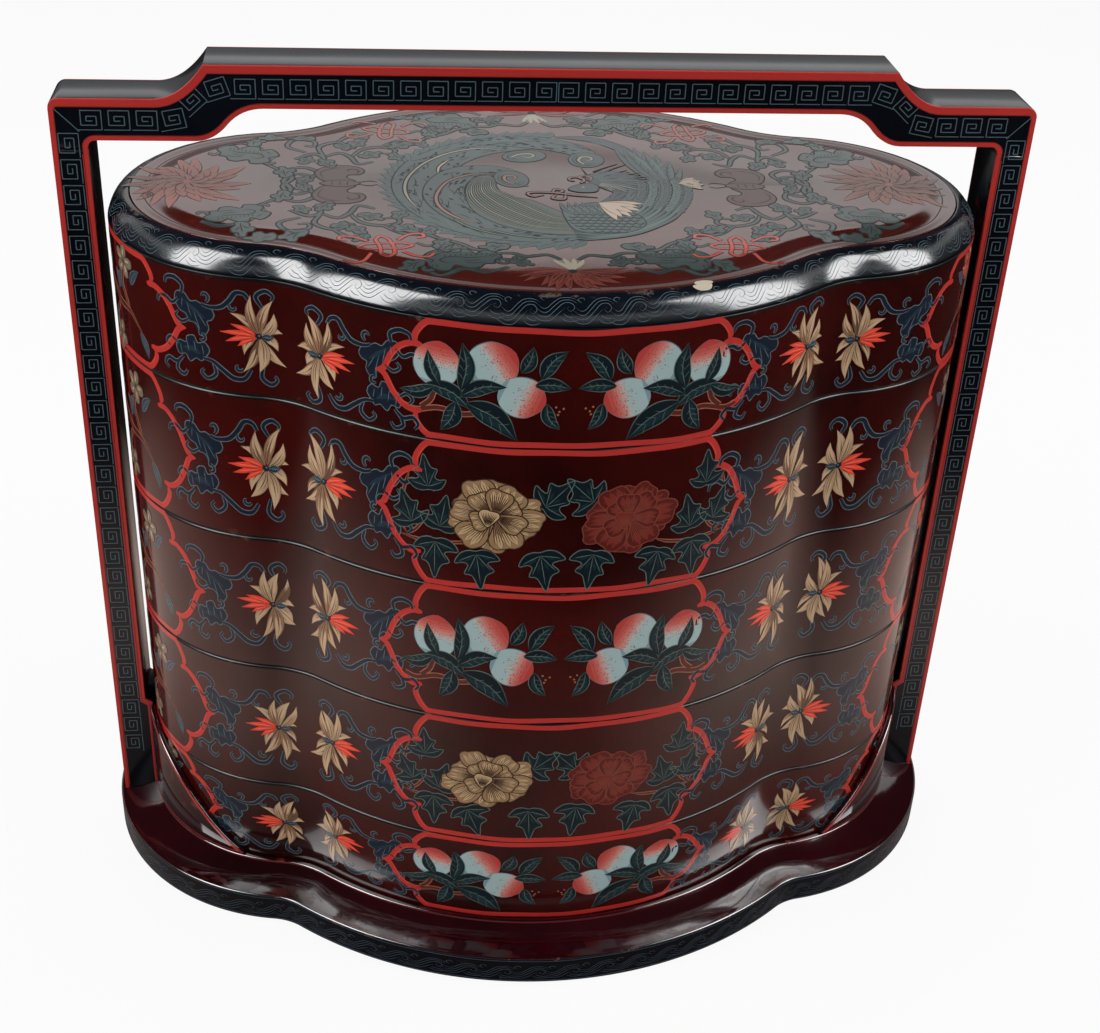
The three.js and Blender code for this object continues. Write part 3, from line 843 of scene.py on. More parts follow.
class Pen:
    """Draws strokes and patches at a place, turn, size and layer of a drawing."""

    def __init__(self, drawing, matrix=None, origin=(0.0, 0.0), layer=0.0):
        self.drawing = drawing
        self.matrix = np.eye(2) if matrix is None else matrix
        self.origin = np.asarray(origin, float)
        self.layer = layer

    def at(self, x=0.0, y=0.0, turn=0.0, size=1.0, flip=False, tall=1.0, layer=0.0):
        angle = math.radians(turn)
        spin = np.array([[math.cos(angle), -math.sin(angle)], [math.sin(angle), math.cos(angle)]])
        scale = np.diag([-size if flip else size, size * tall])
        origin = self.origin + self.matrix @ [x, y]
        return Pen(self.drawing, self.matrix @ spin @ scale, origin, self.layer + layer)

    def fill(self, left, right, ink, layer=0.0, blunt=True):
        """Ink between two edges that have as many points as each other."""
        left, right = left @ self.matrix.T + self.origin, right @ self.matrix.T + self.origin
        span = np.linalg.norm(right - left, axis=1)
        edge = INK_EDGE / np.maximum(span, 0.2)
        inner = np.linspace(0, 1, 1 + math.ceil(span.max() / 2.4))
        shares = np.column_stack([
            np.zeros(len(span)), edge[:, None] + (1 - 2 * edge[:, None]) * inner, np.ones(len(span)),
        ])
        grid = left[:, None] + (right - left)[:, None] * shares[..., None]
        height = INK_LIFT + self.drawing.thickness * (self.layer + layer)
        height += self.drawing.thickness * STAGGER * (len(self.drawing.points) % STAGGER_STEPS)
        lifts = np.full(shares.shape, height)
        lifts[:, [0, -1]] = SUNK
        if blunt:
            grid = np.concatenate([grid[:1], grid, grid[-1:]])
            end = np.full((1, shares.shape[1]), SUNK)
            lifts = np.concatenate([end, lifts, end])
            if not isinstance(ink, str):
                ink = [ink[0], *ink, ink[-1]]
        self.drawing.sheet(grid, lifts, ink)

    def band(self, path, width, ink, layer=0.0, shape=even_shape, step=1.5, closed=False):
        """A stroke along a smooth path, as wide as shape says.

        Ink is a name, or pairs of how far along the stroke a name reaches and the name.
        """
        line = smooth(path, step, closed)
        travel = np.concatenate([[0], np.cumsum(np.hypot(*np.diff(line, axis=0).T))])
        if closed:
            ahead = np.vstack([line[1:], line[1:2]]) - np.vstack([line[-2:-1], line[:-1]])
        else:
            ahead = np.gradient(line, axis=0)
        ahead /= np.maximum(np.hypot(*ahead.T), 1e-9)[:, None]
        side = np.column_stack([-ahead[:, 1], ahead[:, 0]])
        half = (width / 2 * shape(travel / travel[-1]))[:, None]
        if not isinstance(ink, str):
            at = (travel[:-1] + travel[1:]) / 2 / travel[-1]
            ink = [next(name for limit, name in ink if share <= limit) for share in at]
        self.fill(line + side * half, line - side * half, ink, layer, not closed)

    def stroke(self, path, width, ink, layer=0.0, step=1.5):
        """A fine line with thin ends."""
        self.band(path, width, ink, layer, tapered_shape, step)

    def bordered(self, path, width, border, ink, edge, layer=0.0, shape=even_shape, step=1.5, lift=0.5):
        """A stroke over one that is wider by the border, so that a fine outline shows."""
        self.band(path, width + border, edge, layer, shape, step)
        self.band(path, width, ink, layer + lift, shape, step)

    def patch(self, outline, ink, layer=0.0, step=1.5):
        """Ink inside a smooth closed outline, whose first point and middle point are its two ends."""
        line = smooth(outline, step, True)[:-1]
        if len(line) % 2:
            line = np.delete(line, len(line) // 4, 0)
        half = len(line) // 2
        loop = np.vstack([line, line[:1]])
        self.fill(loop[: half + 1], loop[half:][::-1], ink, layer)

    def edged(self, outline, ink, line_ink, width=0.5, layer=0.0, step=1.5):
        self.patch(outline, ink, layer, step)
        self.band(outline, width, line_ink, layer + 0.6, step=step, closed=True)


# Motifs


def spot(pen, x, y, size, ink, layer=0.0):
    pen.band([(x - size, y), (x + size, y)], 2 * size, ink, layer, round_shape, step=size / 2)


def spiral(centre, radius, start, sweep, shrink=0.25, count=8):
    """Points that wind in from a radius to a share of it. Angles are in degrees."""
    points = []
    for share in np.linspace(0, 1, count):
        angle = math.radians(start + sweep * share)
        reach = radius * (1 - (1 - shrink) * share)
        points.append((centre[0] + reach * math.cos(angle), centre[1] + reach * math.sin(angle)))
    return points


def hook(pen, path, width=2.3, fill="navy", line="navy_line", layer=0.0, edge=0.8):
    """A curled tendril over a slightly wider one, so that a fine outline shows."""
    pen.bordered(path, width, edge, fill, line, layer, comma_tail, 1.1)


def comma_tail(share):
    return 0.42 + 0.58 * np.sin(np.pi * np.clip(share * 0.8 + 0.12, 0, 1))


def narrow_leaf(pen, base, tip, width, fill="navy", line="navy_line", bow=0.12, layer=0.0):
    """A pointed leaf with a pale outline, a midrib and side veins."""
    base, tip = np.array(base, float), np.array(tip, float)
    along = tip - base
    side = np.array([-along[1], along[0]])
    middle = (base + tip) / 2 + side * bow
    pen.bordered([base, middle, tip], width, 0.9, fill, line, layer, leaf_shape, 1.4)
    pale = fill if fill.endswith("light") else fill + "_light"
    gleam = [base * 0.8 + middle * 0.2 - side * 0.05, middle - side * 0.07, tip * 0.85 + middle * 0.15]
    pen.band(gleam, width * 0.34, pale, layer + 0.9, leaf_shape, step=1.6)
    pen.stroke([base, middle, tip * 0.9 + middle * 0.1], 0.5, line, layer + 1.3, 1.6)
    unit = side / np.hypot(*side) * width
    for share in (0.25, 0.42, 0.6):
        root = (1 - share) ** 2 * base + 2 * share * (1 - share) * middle + share**2 * tip
        for sign in (-1, 1):
            end = root + along * 0.13 + unit * sign * 0.33
            pen.stroke([root, (root + end) / 2 + along * 0.02, end], 0.36, line, layer + 1.3)


def lobed_leaf(pen):
    """A three-lobed leaf, about 15 across, that points up from its stalk at the origin."""
    outline = [
        (0, -1), (3.4, -1.6), (7.4, -0.4), (10.4, 3.6), (6.4, 3.8), (4.6, 5.4), (6.6, 9.2), (3.4, 10.6),
        (0.4, 17.4), (-3.0, 11.2), (-6.8, 9.4), (-4.4, 5.6), (-6.6, 4.6), (-10.6, 4.2), (-7.6, 0.0),
        (-3.4, -1.4),
    ]
    pen.edged(outline, "teal", "teal_line", 0.5, 0.8, 1.3)
    for tip in ((0.2, 14.6), (8.4, 3.0), (-8.6, 3.4), (5.2, 8.8), (-5.4, 8.8)):
        middle = (tip[0] * 0.45, tip[1] * 0.5)
        pen.stroke([(0, 0.6), middle, tip], 0.42, "teal_line", 1.9, 2)
    for x, y, turn in ((1.6, 6, 68), (-1.8, 6, 112), (4.0, 2.6, 24), (-4.2, 2.6, 156)):
        leaf = pen.at(x, y, turn)
        leaf.band([(-2.2, 0), (2.4, 0)], 1.5, "teal_light", 1.6, leaf_shape)


def star_shape(share):
    return np.sin(np.pi * np.clip(share, 0, 1) ** 0.86) ** 1.15


def star_petal(pen, length, width, layer, fill):
    """A long petal that points along +X, with a hooked tip and brushed streaks."""
    path = [(1.0, 0), (length * 0.34, -1.1), (length * 0.7, -0.3), (length, 2.6)]
    pen.bordered(path, width, 0.6, fill, "tan_line", layer, star_shape, 1.2, 0.4)
    for share, wide in ((0.22, 0.34), (-0.2, 0.2)):
        edge = [(x, y + width * share * math.sin(math.pi * x / length)) for x, y in path]
        pen.band(edge[1:], width * wide, "cream", layer + 0.8, leaf_shape, step=1.2)
    pen.stroke(path[:3], 0.46, "tan_line", layer + 1.2)
    low = [(x, y - width * 0.26 * math.sin(math.pi * x / length)) for x, y in path]
    pen.stroke(low[:3], 0.36, "tan_line", layer + 1.2)


def star_flower(pen, rng):
    """A lily-like flower of pale petals with a red tuft that points along +X."""
    petals = (
        (44, 17, 4.4), (70, 21, 5.2), (98, 22, 5.6), (126, 17, 4.8), (154, 13, 4.4), (206, 13, 4.4),
        (232, 18, 5.0), (260, 22, 5.6), (286, 20, 5.2), (314, 16, 4.4),
    )
    fills = ("tan", "tan_pale", "tan_pale", "tan", "tan_deep")
    for number, (turn, long, width) in enumerate(petals):
        petal = pen.at(0, 0, turn + rng.uniform(-7, 7), tall=1 if number % 3 else -1)
        fill = fills[rng.integers(len(fills))]
        long, width = long + rng.uniform(-3, 2), width + rng.uniform(-0.6, 0.6)
        star_petal(petal, long, width, 1.6 * (number % 2), fill)
    for turn, long in ((-27, 13), (-12, 18), (3, 20), (18, 15)):
        spike = pen.at(0, 0, turn + rng.uniform(-3, 3))
        spike.band([(2, 0), (long * 0.55, 0.5), (long, 0)], 3.0, "tuft", 3.6, leaf_shape, step=1.3)
        spike.stroke([(3, 0.3), (long * 0.8, 0.6)], 0.6, "tuft_light", 4.3, 2)
        spike.stroke([(2.4, -0.7), (long * 0.62, -0.6)], 0.4, "coral_dark", 4.3, 2)
    narrow_leaf(pen, (-1.0, 0), (-7.2, 0.6), 3.4, "navy", "navy_line", 0.05, 4.2)
    spot(pen, 0.4, 0, 1.6, "navy", 5.2)
    spot(pen, 0.2, 0.4, 0.6, "navy_line", 5.9)


def upper_scroll(pen):
    """Vine and scroll leaves above and outward of a flower at the origin."""
    vine = [(4.4, 18.6), (6.8, 22.2), (11, 22.4), (14.3, 17.6), (18.7, 13.4), (25, 12.4), (29, 13.4)]
    hook(pen, vine, 2.2, layer=1.5)
    hook(pen, spiral((12.2, 14.4), 2.4, 30, -230), 1.2, layer=1.2)
    leaf = [
        (24.6, 12.4), (22.4, 8.6), (24.0, 5.6), (26.6, 4.6), (26.0, 1.0), (28.4, -2.8), (31.4, -3.0),
        (31.6, 0.6), (33.6, 3.0), (37.0, 3.4), (38.4, 6.8), (42.0, 8.2), (44.6, 12.6), (43.4, 17.4),
        (38.6, 17.6), (35.4, 14.0), (32.0, 14.6), (29.0, 13.4),
    ]
    pen.edged(leaf, "navy", "navy_line", 0.5)
    pen.band([(27.4, 6), (32.4, 9.0), (40, 14.4)], 2.4, "navy_light", 0.8, leaf_shape)
    hook(pen, spiral((30.4, -4.6), 2.6, 90, 240), 1.3, layer=0.5)
    hook(pen, [(40.4, 17), (39.6, 21.6), (44.0, 24.6), (49.0, 23.6), (50.4, 20.4)], 2.0, layer=0.4)
    hook(pen, [(42.6, 14), (46.4, 10.8), (50.4, 13.0), (54.6, 12.0), (55.4, 8.6)], 1.7, layer=0.4)
    hook(pen, spiral((27.4, 17.6), 3.0, 250, -250), 1.4, layer=0.3)
    hook(pen, [(36.6, 4.6), (41.0, 2.0), (44.6, 4.4), (43.0, 7.0)], 1.4, layer=0.3)
    veins = (
        [(27.0, 1.6), (31.2, 8)], [(30.8, -0.6), (33.8, 9)], [(35.4, 5.4), (37.4, 13)],
        [(40.6, 10), (40.0, 15)],
    )
    for vein in veins:
        pen.stroke(vein, 0.4, "navy_line", 1.4)


def lower_scroll(pen):
    """Vine and a fluted leaf below and outward of a flower at the origin."""
    vine = [(5, -18.6), (9.0, -23.6), (14.6, -23.8), (19.6, -20.2), (25, -16.2), (30, -15.4)]
    hook(pen, vine, 2.2, layer=1.5)
    hook(pen, spiral((11.4, -17.6), 2.6, 200, 240), 1.4, layer=1.0)
    leaf = [
        (28.4, -14.6), (26.4, -10.6), (28.8, -6.8), (32.6, -7.8), (34.6, -4.2), (38.6, -5.6),
        (39.0, -9.0), (43.2, -8.8), (45.0, -12.6), (43.2, -16.6), (39.4, -15.6), (37.2, -19.2),
        (33.4, -16.4), (31, -17.6),
    ]
    pen.edged(leaf, "navy", "navy_line", 0.5)
    pen.band([(31, -14.0), (36, -11.6), (41.6, -12.6)], 3.0, "navy_light", 0.8, leaf_shape)
    for x, y in ((30.4, -8.4), (34.6, -7.0), (38.4, -8.4), (42.4, -10.6)):
        pen.stroke([(x, y), (x - 0.8, y - 5.4)], 0.4, "navy_line", 1.4)
    hook(pen, [(41, -17.4), (45.4, -21.4), (50.6, -20.4), (53.4, -23.6), (51.4, -26.4)], 1.8, layer=0.4)
    hook(pen, [(44, -20.4), (45.4, -25.2), (41.4, -27.4), (39.0, -24.6)], 1.7, layer=0.2)
    hook(pen, [(24.6, -17), (23.4, -22.8), (27.6, -26.4), (31.0, -23.6), (29.4, -21.4)], 1.6, layer=0.2)
    hook(pen, [(43.4, -11), (48.0, -8.4), (51.0, -11.4), (48.8, -13.6)], 1.4, layer=0.2)


def flower_group(drawing_pen, rng, tall):
    """Two flowers back to back over a valley, each with its scrolls."""
    for flip in (False, True):
        side = drawing_pen.at(-16.5 if flip else 16.5, rng.uniform(-2.0, 2.0), flip=flip, tall=tall)
        upper_scroll(side)
        lower_scroll(side)
        for curl in (
            [(-1.6, 15.8), (1.2, 21.4), (-3.4, 24.6), (-7.4, 22.4), (-6.6, 19.8)],
            [(-1.6, -15.4), (-0.2, -22.6), (-4.8, -26), (-8.2, -23.2), (-6.8, -21.0)],
        ):
            hook(side, curl, 1.9, layer=0.3)
        star_flower(side.at(layer=2.6), rng)


def peach(pen, radius):
    """A peach whose red tip points along +X."""
    tones = (
        (0.12, "peach_shade"), (0.5, "peach_white"), (0.55, "peach_1"), (0.6, "peach_2"),
        (0.65, "peach_3"), (0.71, "peach_4"), (0.78, "peach_5"), (0.87, "peach_6"), (1.0, "peach_7"),
    )
    path = [(-radius, 0), (0, 0), (radius * 1.16, 0)]

    def peach_shape(share):
        return round_shape(share) * (1 - 0.3 * np.clip((share - 0.7) / 0.3, 0, 1) ** 2)

    pen.band(path, 2 * radius + 0.9, "navy_line", 0, peach_shape, step=1.0)
    pen.band(path, 2 * radius, tones, 0.6, peach_shape, step=radius / 16)
    rng = np.random.default_rng(round(radius * 10))
    for ink, low, high, count in (
        ("peach_4", -0.2, 0.4, 60), ("peach_7", 0.1, 0.7, 50), ("tan_line", -0.4, 0.9, 26),
    ):
        for _ in range(count):
            x, y = rng.uniform(low, high) * radius, rng.uniform(-0.84, 0.84) * radius
            if math.hypot(x, y) < radius * 0.92:
                spot(pen, x, y, rng.uniform(0.18, 0.34), ink, 1.4)


def peach_spray(pen):
    """Three peaches among leaves, left of the middle of a panel."""
    stem = [(-45.9, -13.5), (-53.7, -14.8), (-64.2, -13.4), (-75.5, -16.2), (-82, -14.6)]
    for path in (stem, [(-66.4, -4), (-68.4, -10), (-73, -14.4)]):
        pen.bordered(path, 2.2, 1.0, "stem", "stem_line")
    peach(pen.at(-65.6, 8.8, 82, layer=0.6), 11.2)
    peach(pen.at(-39.6, 11.8, 34, layer=0.6), 11.6)
    peach(pen.at(-25.6, -3.4, -20, layer=2.6), 10.6)
    leaves = (
        ((-63.8, -1), (-70.0, 17.0), 6.4, 0.08), ((-53.6, -2.3), (-53.0, 22.0), 8.0, -0.1),
        ((-66.4, -2.1), (-84.0, -6.6), 6.2, 0.14), ((-70.4, -1.0), (-48.3, -11.8), 8.4, 0.12),
        ((-53.8, -5.0), (-31.8, 1.2), 7.6, 0.1), ((-51.2, -8.4), (-26.0, -26.8), 11.0, 0.1),
        ((-56.0, -8.5), (-63.2, -25.6), 8.2, 0.1), ((-25.7, 9.3), (-20, 22.8), 6.6, -0.08),
        ((-16.2, 6.3), (-3.8, 21.2), 7.6, 0.1), ((-19.4, 3.2), (-1.6, 1.6), 6.6, 0.06),
        ((-13.6, -6.2), (-6.6, -20.2), 6.0, -0.14),
    )
    for number, (base, tip, width, bow) in enumerate(leaves):
        narrow_leaf(pen, base, tip, width, "teal", "teal_line", bow, 4.4 + 2.0 * (number % 3))
    for x, y in ((-9, -8), (-7.4, -10.4), (-5.4, -8.8), (-8, -12)):
        spot(pen, x, y, 0.6, "stem_line")


def peony_petal(pen, length, width, fill, light, line, layer):
    """A broad notched petal that points along +X, hatched from its root."""
    outline = [
        (0, 0), (length * 0.3, -width * 0.3), (length * 0.66, -width * 0.54),
        (length * 0.9, -width * 0.46), (length * 0.96, -width * 0.2), (length * 0.98, 0),
        (length * 1.03, width * 0.16), (length * 0.97, width * 0.42), (length * 0.7, width * 0.54),
        (length * 0.3, width * 0.32),
    ]
    pen.patch(outline, fill, layer, 1.2)
    for share in (-0.6, 0.1, 0.66):
        gleam = [(length * 0.5, width * 0.3 * share), (length * 0.94, width * 0.42 * share)]
        pen.band(gleam, width * 0.24, light, layer + 0.5, leaf_shape)
    for share in np.linspace(-0.88, 0.88, 10):
        start = (length * 0.12, width * 0.12 * share)
        end = (length * (0.88 - 0.12 * share**2), width * 0.46 * share)
        pen.stroke([start, end], 0.55, line, layer + 1.0, 3)
    pen.band(outline, 0.75, line, layer + 1.0, step=1.2, closed=True)


def peony(pen, rng, colour):
    fill, light, line = f"{colour}_petal", f"{colour}_light", f"{colour}_line"
    outer = (
        (150, 23, 15), (118, 23, 15), (86, 21, 16), (54, 22, 15), (22, 25, 14), (352, 26, 14),
        (322, 23, 15), (292, 21, 16), (260, 23, 17), (228, 24, 15), (196, 26, 13), (174, 24, 12),
    )
    for number, (turn, length, width) in enumerate(outer):
        petal = pen.at(0, 0, turn + rng.uniform(-5, 5))
        long = length + rng.uniform(-2.5, 1.5)
        peony_petal(petal, long, width + rng.uniform(-2, 1.5), fill, light, line, 1.8 * (number % 2))
    inner = ((132, 15, 12), (84, 15, 13), (36, 16, 12), (340, 15, 12), (212, 14, 12))
    for number, (turn, length, width) in enumerate(inner):
        petal = pen.at(0, 0, turn + rng.uniform(-8, 8))
        peony_petal(petal, length + rng.uniform(-2, 2), width, fill, light, line, 4.6 + 1.8 * (number % 2))
    peony_petal(pen.at(-3.5, -7.5, 84), 11, 10, light, light, line, 8.4)


def peony_panel(pen, rng, tall):
    """A pale and a red peony side by side, with lobed leaves round them."""
    inner = pen.at(tall=tall)
    for sign in (-1, 1):
        side = inner.at(flip=sign > 0)
        for path in (
            [(-79, 20), (-82, 8), (-83, -6), (-79, -13)],
            [(-84, -12.5), (-68, -14.5), (-52, -13), (-42, -10)],
            [(-70, -2), (-75, -9), (-80, -12)],
        ):
            side.bordered(path, 1.1, 0.8, "stem", "stem_line", 0, tapered_shape)
        for x, y, turn, size in (
            (-70, 12, 4, 0.95), (-77, -6, 24, 0.98), (-63, -7, -14, 1.0), (-66, -14, 176, 1.08),
            (-46, -18, 198, 1.08), (-12, 9, -48, 1.05), (-14, -16, 186, 1.1),
        ):
            x, y = x + rng.uniform(-1, 1), y + rng.uniform(-1, 1)
            lobed_leaf(side.at(x, y, turn + rng.uniform(-8, 8), size))
    peony(inner.at(-36, 2.5, size=0.98, tall=0.8, layer=2.4), rng, "cream")
    peony(inner.at(30, 2.0, 6, size=0.94, tall=0.82, layer=2.4), rng, "red")


def blossom(pen, rng, fill, light, line, count):
    """A small open blossom."""
    for number in range(count):
        petal = pen.at(0, 0, 360 / count * number + rng.uniform(-6, 6))
        outline = [(0.6, 0), (4, -2.8), (8, -2.4), (9.4, 0), (8, 2.6), (4, 2.8)]
        petal.edged(outline, fill, line, 0.4, 0.9 * (number % 2), 1.2)
        petal.band([(2.4, 0.4), (6.8, 0.8)], 1.6, light, 2.2, leaf_shape)
        petal.stroke([(1.4, 0), (5.6, -0.4)], 0.36, line, 2.6)
    spot(pen, 0, 0, 1.3, "tan_line", 3.2)


def branch_panel(pen, rng, tall, ruddy):
    """A flowering branch across an end panel, in fine outlines."""
    inner = pen.at(tall=tall)
    main = [(62, -16), (50, -6), (36, -4), (20, 4), (2, 0), (-14, 8), (-34, 6), (-54, 16)]
    twigs = (
        [(50, -6), (42, 8), (46, 20)], [(36, -4), (26, -16), (30, -24)], [(20, 4), (14, 16), (4, 21)],
        [(2, 0), (-8, -14), (-24, -18)], [(-34, 6), (-44, -4), (-56, -8)],
    )
    for path in (main, *twigs):
        wide = 2.8 if path is main else 1.6
        inner.bordered(path, wide, 1.5, "bare", "stem_line", 0, tapered_shape, 2)
    for x, y in ((46, 21), (4, 21), (-24, -19), (-57, 16), (31, -24)):
        flower = inner.at(x, y, rng.uniform(0, 70), 0.9 + rng.uniform(-0.1, 0.2), layer=3)
        if ruddy:
            blossom(flower, rng, "rose_petal", "tuft_light", "coral_dark", 6)
        else:
            blossom(flower, rng, "pale_petal", "cream", "tan_line", 5)
    for x, y, turn in (
        (44, 6, 150), (52, 10, 40), (28, -10, 230), (22, 10, 110), (36, 2, 60), (10, 4, -50),
        (-4, -12, 250), (-16, 12, 120), (-30, -14, 160), (-40, 0, 300), (-48, 14, 60), (58, -14, -70),
    ):
        leaf = inner.at(x, y, turn)
        narrow_leaf(leaf, (0, 0), (14, 1.5), 4.2, "navy_light", "navy_line", 0.1, 1.2)


def cartouche(pen, half_width, rise):
    """A bracket-ended panel border with a point at each side."""
    for level in (rise, -rise):
        pen.band([(-half_width, level), (0, level), (half_width, level)], 3.1, "coral", 0, step=3)
    for flip in (False, True):
        for sign in (-1, 1):
            side = pen.at(flip=flip)
            corner = [(-5, 1.0), (-1.4, 0.995), (1.4, 0.93), (4.0, 0.82), (5.2, 0.72), (4.2, 0.62)]
            bracket = [
                (1.6, 0.585), (7.0, 0.59), (12.6, 0.49), (16.8, 0.32), (19.6, 0.14), (21.6, 0.04),
                (26, 0.0),
            ]
            for path, layer in ((corner, 0.3), (bracket, 0.6)):
                points = [(half_width + x, sign * rise * y) for x, y in path]
                side.band(points, 3.3, "coral", layer, soft_ends, step=1.2)
                thin = [(x - 0.9, y - sign * 0.7) for x, y in points]
                side.stroke(thin[1:-1], 0.5, "coral_light", layer + 0.7, 1.6)


def soft_ends(share):
    return np.clip(np.minimum(share * 9 + 0.5, (1 - share) * 6 + 0.18), 0, 1)


# The walls


def plan_surface(turn, offset=0.0, bottom=0.0):
    """A surface that follows the plan: flat x is the travel along it and flat y is the height."""
    def lay(flat, lift):
        point, normal = plan_at(flat[:, 0] + turn)
        return np.column_stack([point + (offset + lift)[:, None] * normal, flat[:, 1] + bottom])
    return lay


# Name, body, bottom, middle and half height of the panels, their subject and how much it is stretched
WALL_ROWS = (
    ("lid_painting", "lid", LID_BOTTOM, 31.6, 29.8, "peach", 1.0),
    ("tray_1_painting", "tray_1", TRAY_BOTTOMS["tray_1"], 41.4, 39.4, "peony", 1.14),
    ("tray_2_painting", "tray_2", TRAY_BOTTOMS["tray_2"], 41.4, 39.4, "peach", 1.1),
    ("tray_3_painting", "tray_3", TRAY_BOTTOMS["tray_3"], 41.4, 39.4, "peony", 1.08),
    ("tray_4_painting", "tray_4", TRAY_BOTTOMS["tray_4"], 44.4, 26.4, "peach", 0.86),
)


def paint_wall(name, body, bottom, middle, rise, subject, tall, seed):
    rng = np.random.default_rng(seed)
    drawing = Drawing()
    pen = Pen(drawing).at(0, middle)
    cartouche(pen, 71.0, rise)
    cartouche(pen.at(QUARTER, 0), 66.0, rise)
    for sign in (-1, 1):
        flower_group(pen.at(sign * 144.7, 0), rng, tall)
    if subject == "peach":
        for flip in (False, True):
            peach_spray(pen.at(0, -1.0, flip=flip, tall=tall))
    else:
        peony_panel(pen, rng, tall)
    surfaces = [plan_surface(turn, bottom=bottom) for turn in (0, ROUND / 2)]
    piece = drawing.lay(f"{name}_panels", body, surfaces, 0.45, seed)

    drawing = Drawing()
    pen = Pen(drawing).at(0, middle)
    branch_panel(pen.at(-QUARTER, 0), rng, tall, False)
    branch_panel(pen.at(QUARTER, 0, flip=True), rng, tall, subject == "peach")
    piece = drawing.lay(f"{name}_branches", body, [plan_surface(0, bottom=bottom)], 0.45, seed)


for row_number, row in enumerate(WALL_ROWS):
    paint_wall(*row, seed=row_number + 3)


# The lid's painting


def lid_surface(flat, lift):
    return np.column_stack([flat, lid_height(*flat.T) + lift])


def feathers(pen, path, count, length, width, lean, fill, line, layer):
    """A row of feathers that lean away from a path."""
    points = smooth(path, 1.0)
    steps = np.linspace(0, 1, count) * (len(points) - 2)
    for number, step in enumerate(steps.astype(int)):
        along = points[step + 1] - points[step]
        turn = math.degrees(math.atan2(along[1], along[0])) + lean
        feather = pen.at(*points[step], turn, layer=layer + 0.35 * (number % 4))
        shape = [(0, 0), (length * 0.55, -width * 0.12), (length, width * 0.3)]
        feather.bordered(shape, width, 0.7, fill, line, 0, leaf_shape, 1.6)
        feather.stroke([shape[0], shape[1], (length * 0.8, width * 0.06)], 0.4, line, 1.2, 2)


def shell(pen, length, width):
    """Seven pale flutes that fan out along +X."""
    for number, turn in enumerate((-36, -24, -12, 0, 12, 24, 36)):
        flute = pen.at(0, 0, turn)
        long = length * (1 - 0.1 * (number % 2))
        path = [(0, 0), (long * 0.6, 0.4), (long, -0.4)]
        layer = 0.6 * (number % 2)
        flute.bordered(path, width, 0.9, "lid_cream", "lid_blue_line", layer, petal_shape, lift=0.4)


def ring_path(reach, start, end, count):
    turns = np.radians(np.linspace(start, end, count))
    reach = np.interp(np.linspace(0, 1, count), np.linspace(0, 1, len(reach)), reach)
    return np.column_stack([reach * np.cos(turns), reach * np.sin(turns)])


def crescent(share):
    return np.clip(np.sin(np.pi * np.clip(share, 0.02, 0.98)), 0, 1) ** 0.45


def plume(pen, path, width, layer, count):
    """A tail plume: a dark-edged body with fine barbs and spots."""
    pen.bordered(path, width, 1.3, "lid_blue", "lid_blue_line", layer, crescent, 2)
    points = smooth(path, 1.0)
    rng = np.random.default_rng(count)
    for share in np.linspace(0.04, 0.96, 5 * count):
        step = int(share * (len(points) - 2))
        along = (points[step + 1] - points[step]) / math.dist(points[step + 1], points[step])
        side = np.array([-along[1], along[0]]) * rng.choice([-1, 1])
        place = points[step] + side * rng.uniform(0.06, 0.44) * width * float(crescent(np.float64(share)))
        turn = math.degrees(math.atan2(along[1], along[0])) + rng.uniform(-30, 30)
        mark = pen.at(*place, turn)
        if rng.uniform() < 0.45:
            mark.band([(-1.9, 0), (1.9, 0.5)], 1.7, "lid_blue_line", layer + 1.6, leaf_shape)
        else:
            ink = "lid_blue_light" if rng.uniform() < 0.35 else "lid_blue_line"
            mark.stroke([(-4.6, 0), (0, 0.9), (4.6, 0.4)], 0.6, ink, layer + 1.4, 3)


def shaft(pen, path, ink, layer, width=1.5):
    pen.bordered(path, width, 1.5, ink, "lid_blue_line", layer, tapered_shape, 2, 0.6)


def eye(pen, layer, core):
    """The rounded end of a plume, with a pale hook in it."""
    pen.band([(-12.6, 0), (0, 0), (12.6, 0)], 19.6, "lid_blue_line", layer, round_shape, step=1.2)
    pen.band([(-12.1, 0), (0, 0), (12.1, 0)], 18.6, "lid_blue", layer + 0.5, round_shape, step=1.2)
    for reach in (9.4, 7.2):
        pen.at(tall=0.76).stroke(ring_path((reach, reach), 20, 250, 9), 0.7, "lid_blue_line", layer + 1.1)
    curl = [(-7.5, 0.5), (-2, 3.8), (4.2, 2.8), (5.0, -1.2), (1.4, -2.8), (-1.2, -0.6)]
    pen.bordered(curl, 1.9, 1.1, core, "lid_blue_line", layer + 1.4, comma_tail, 1.2)


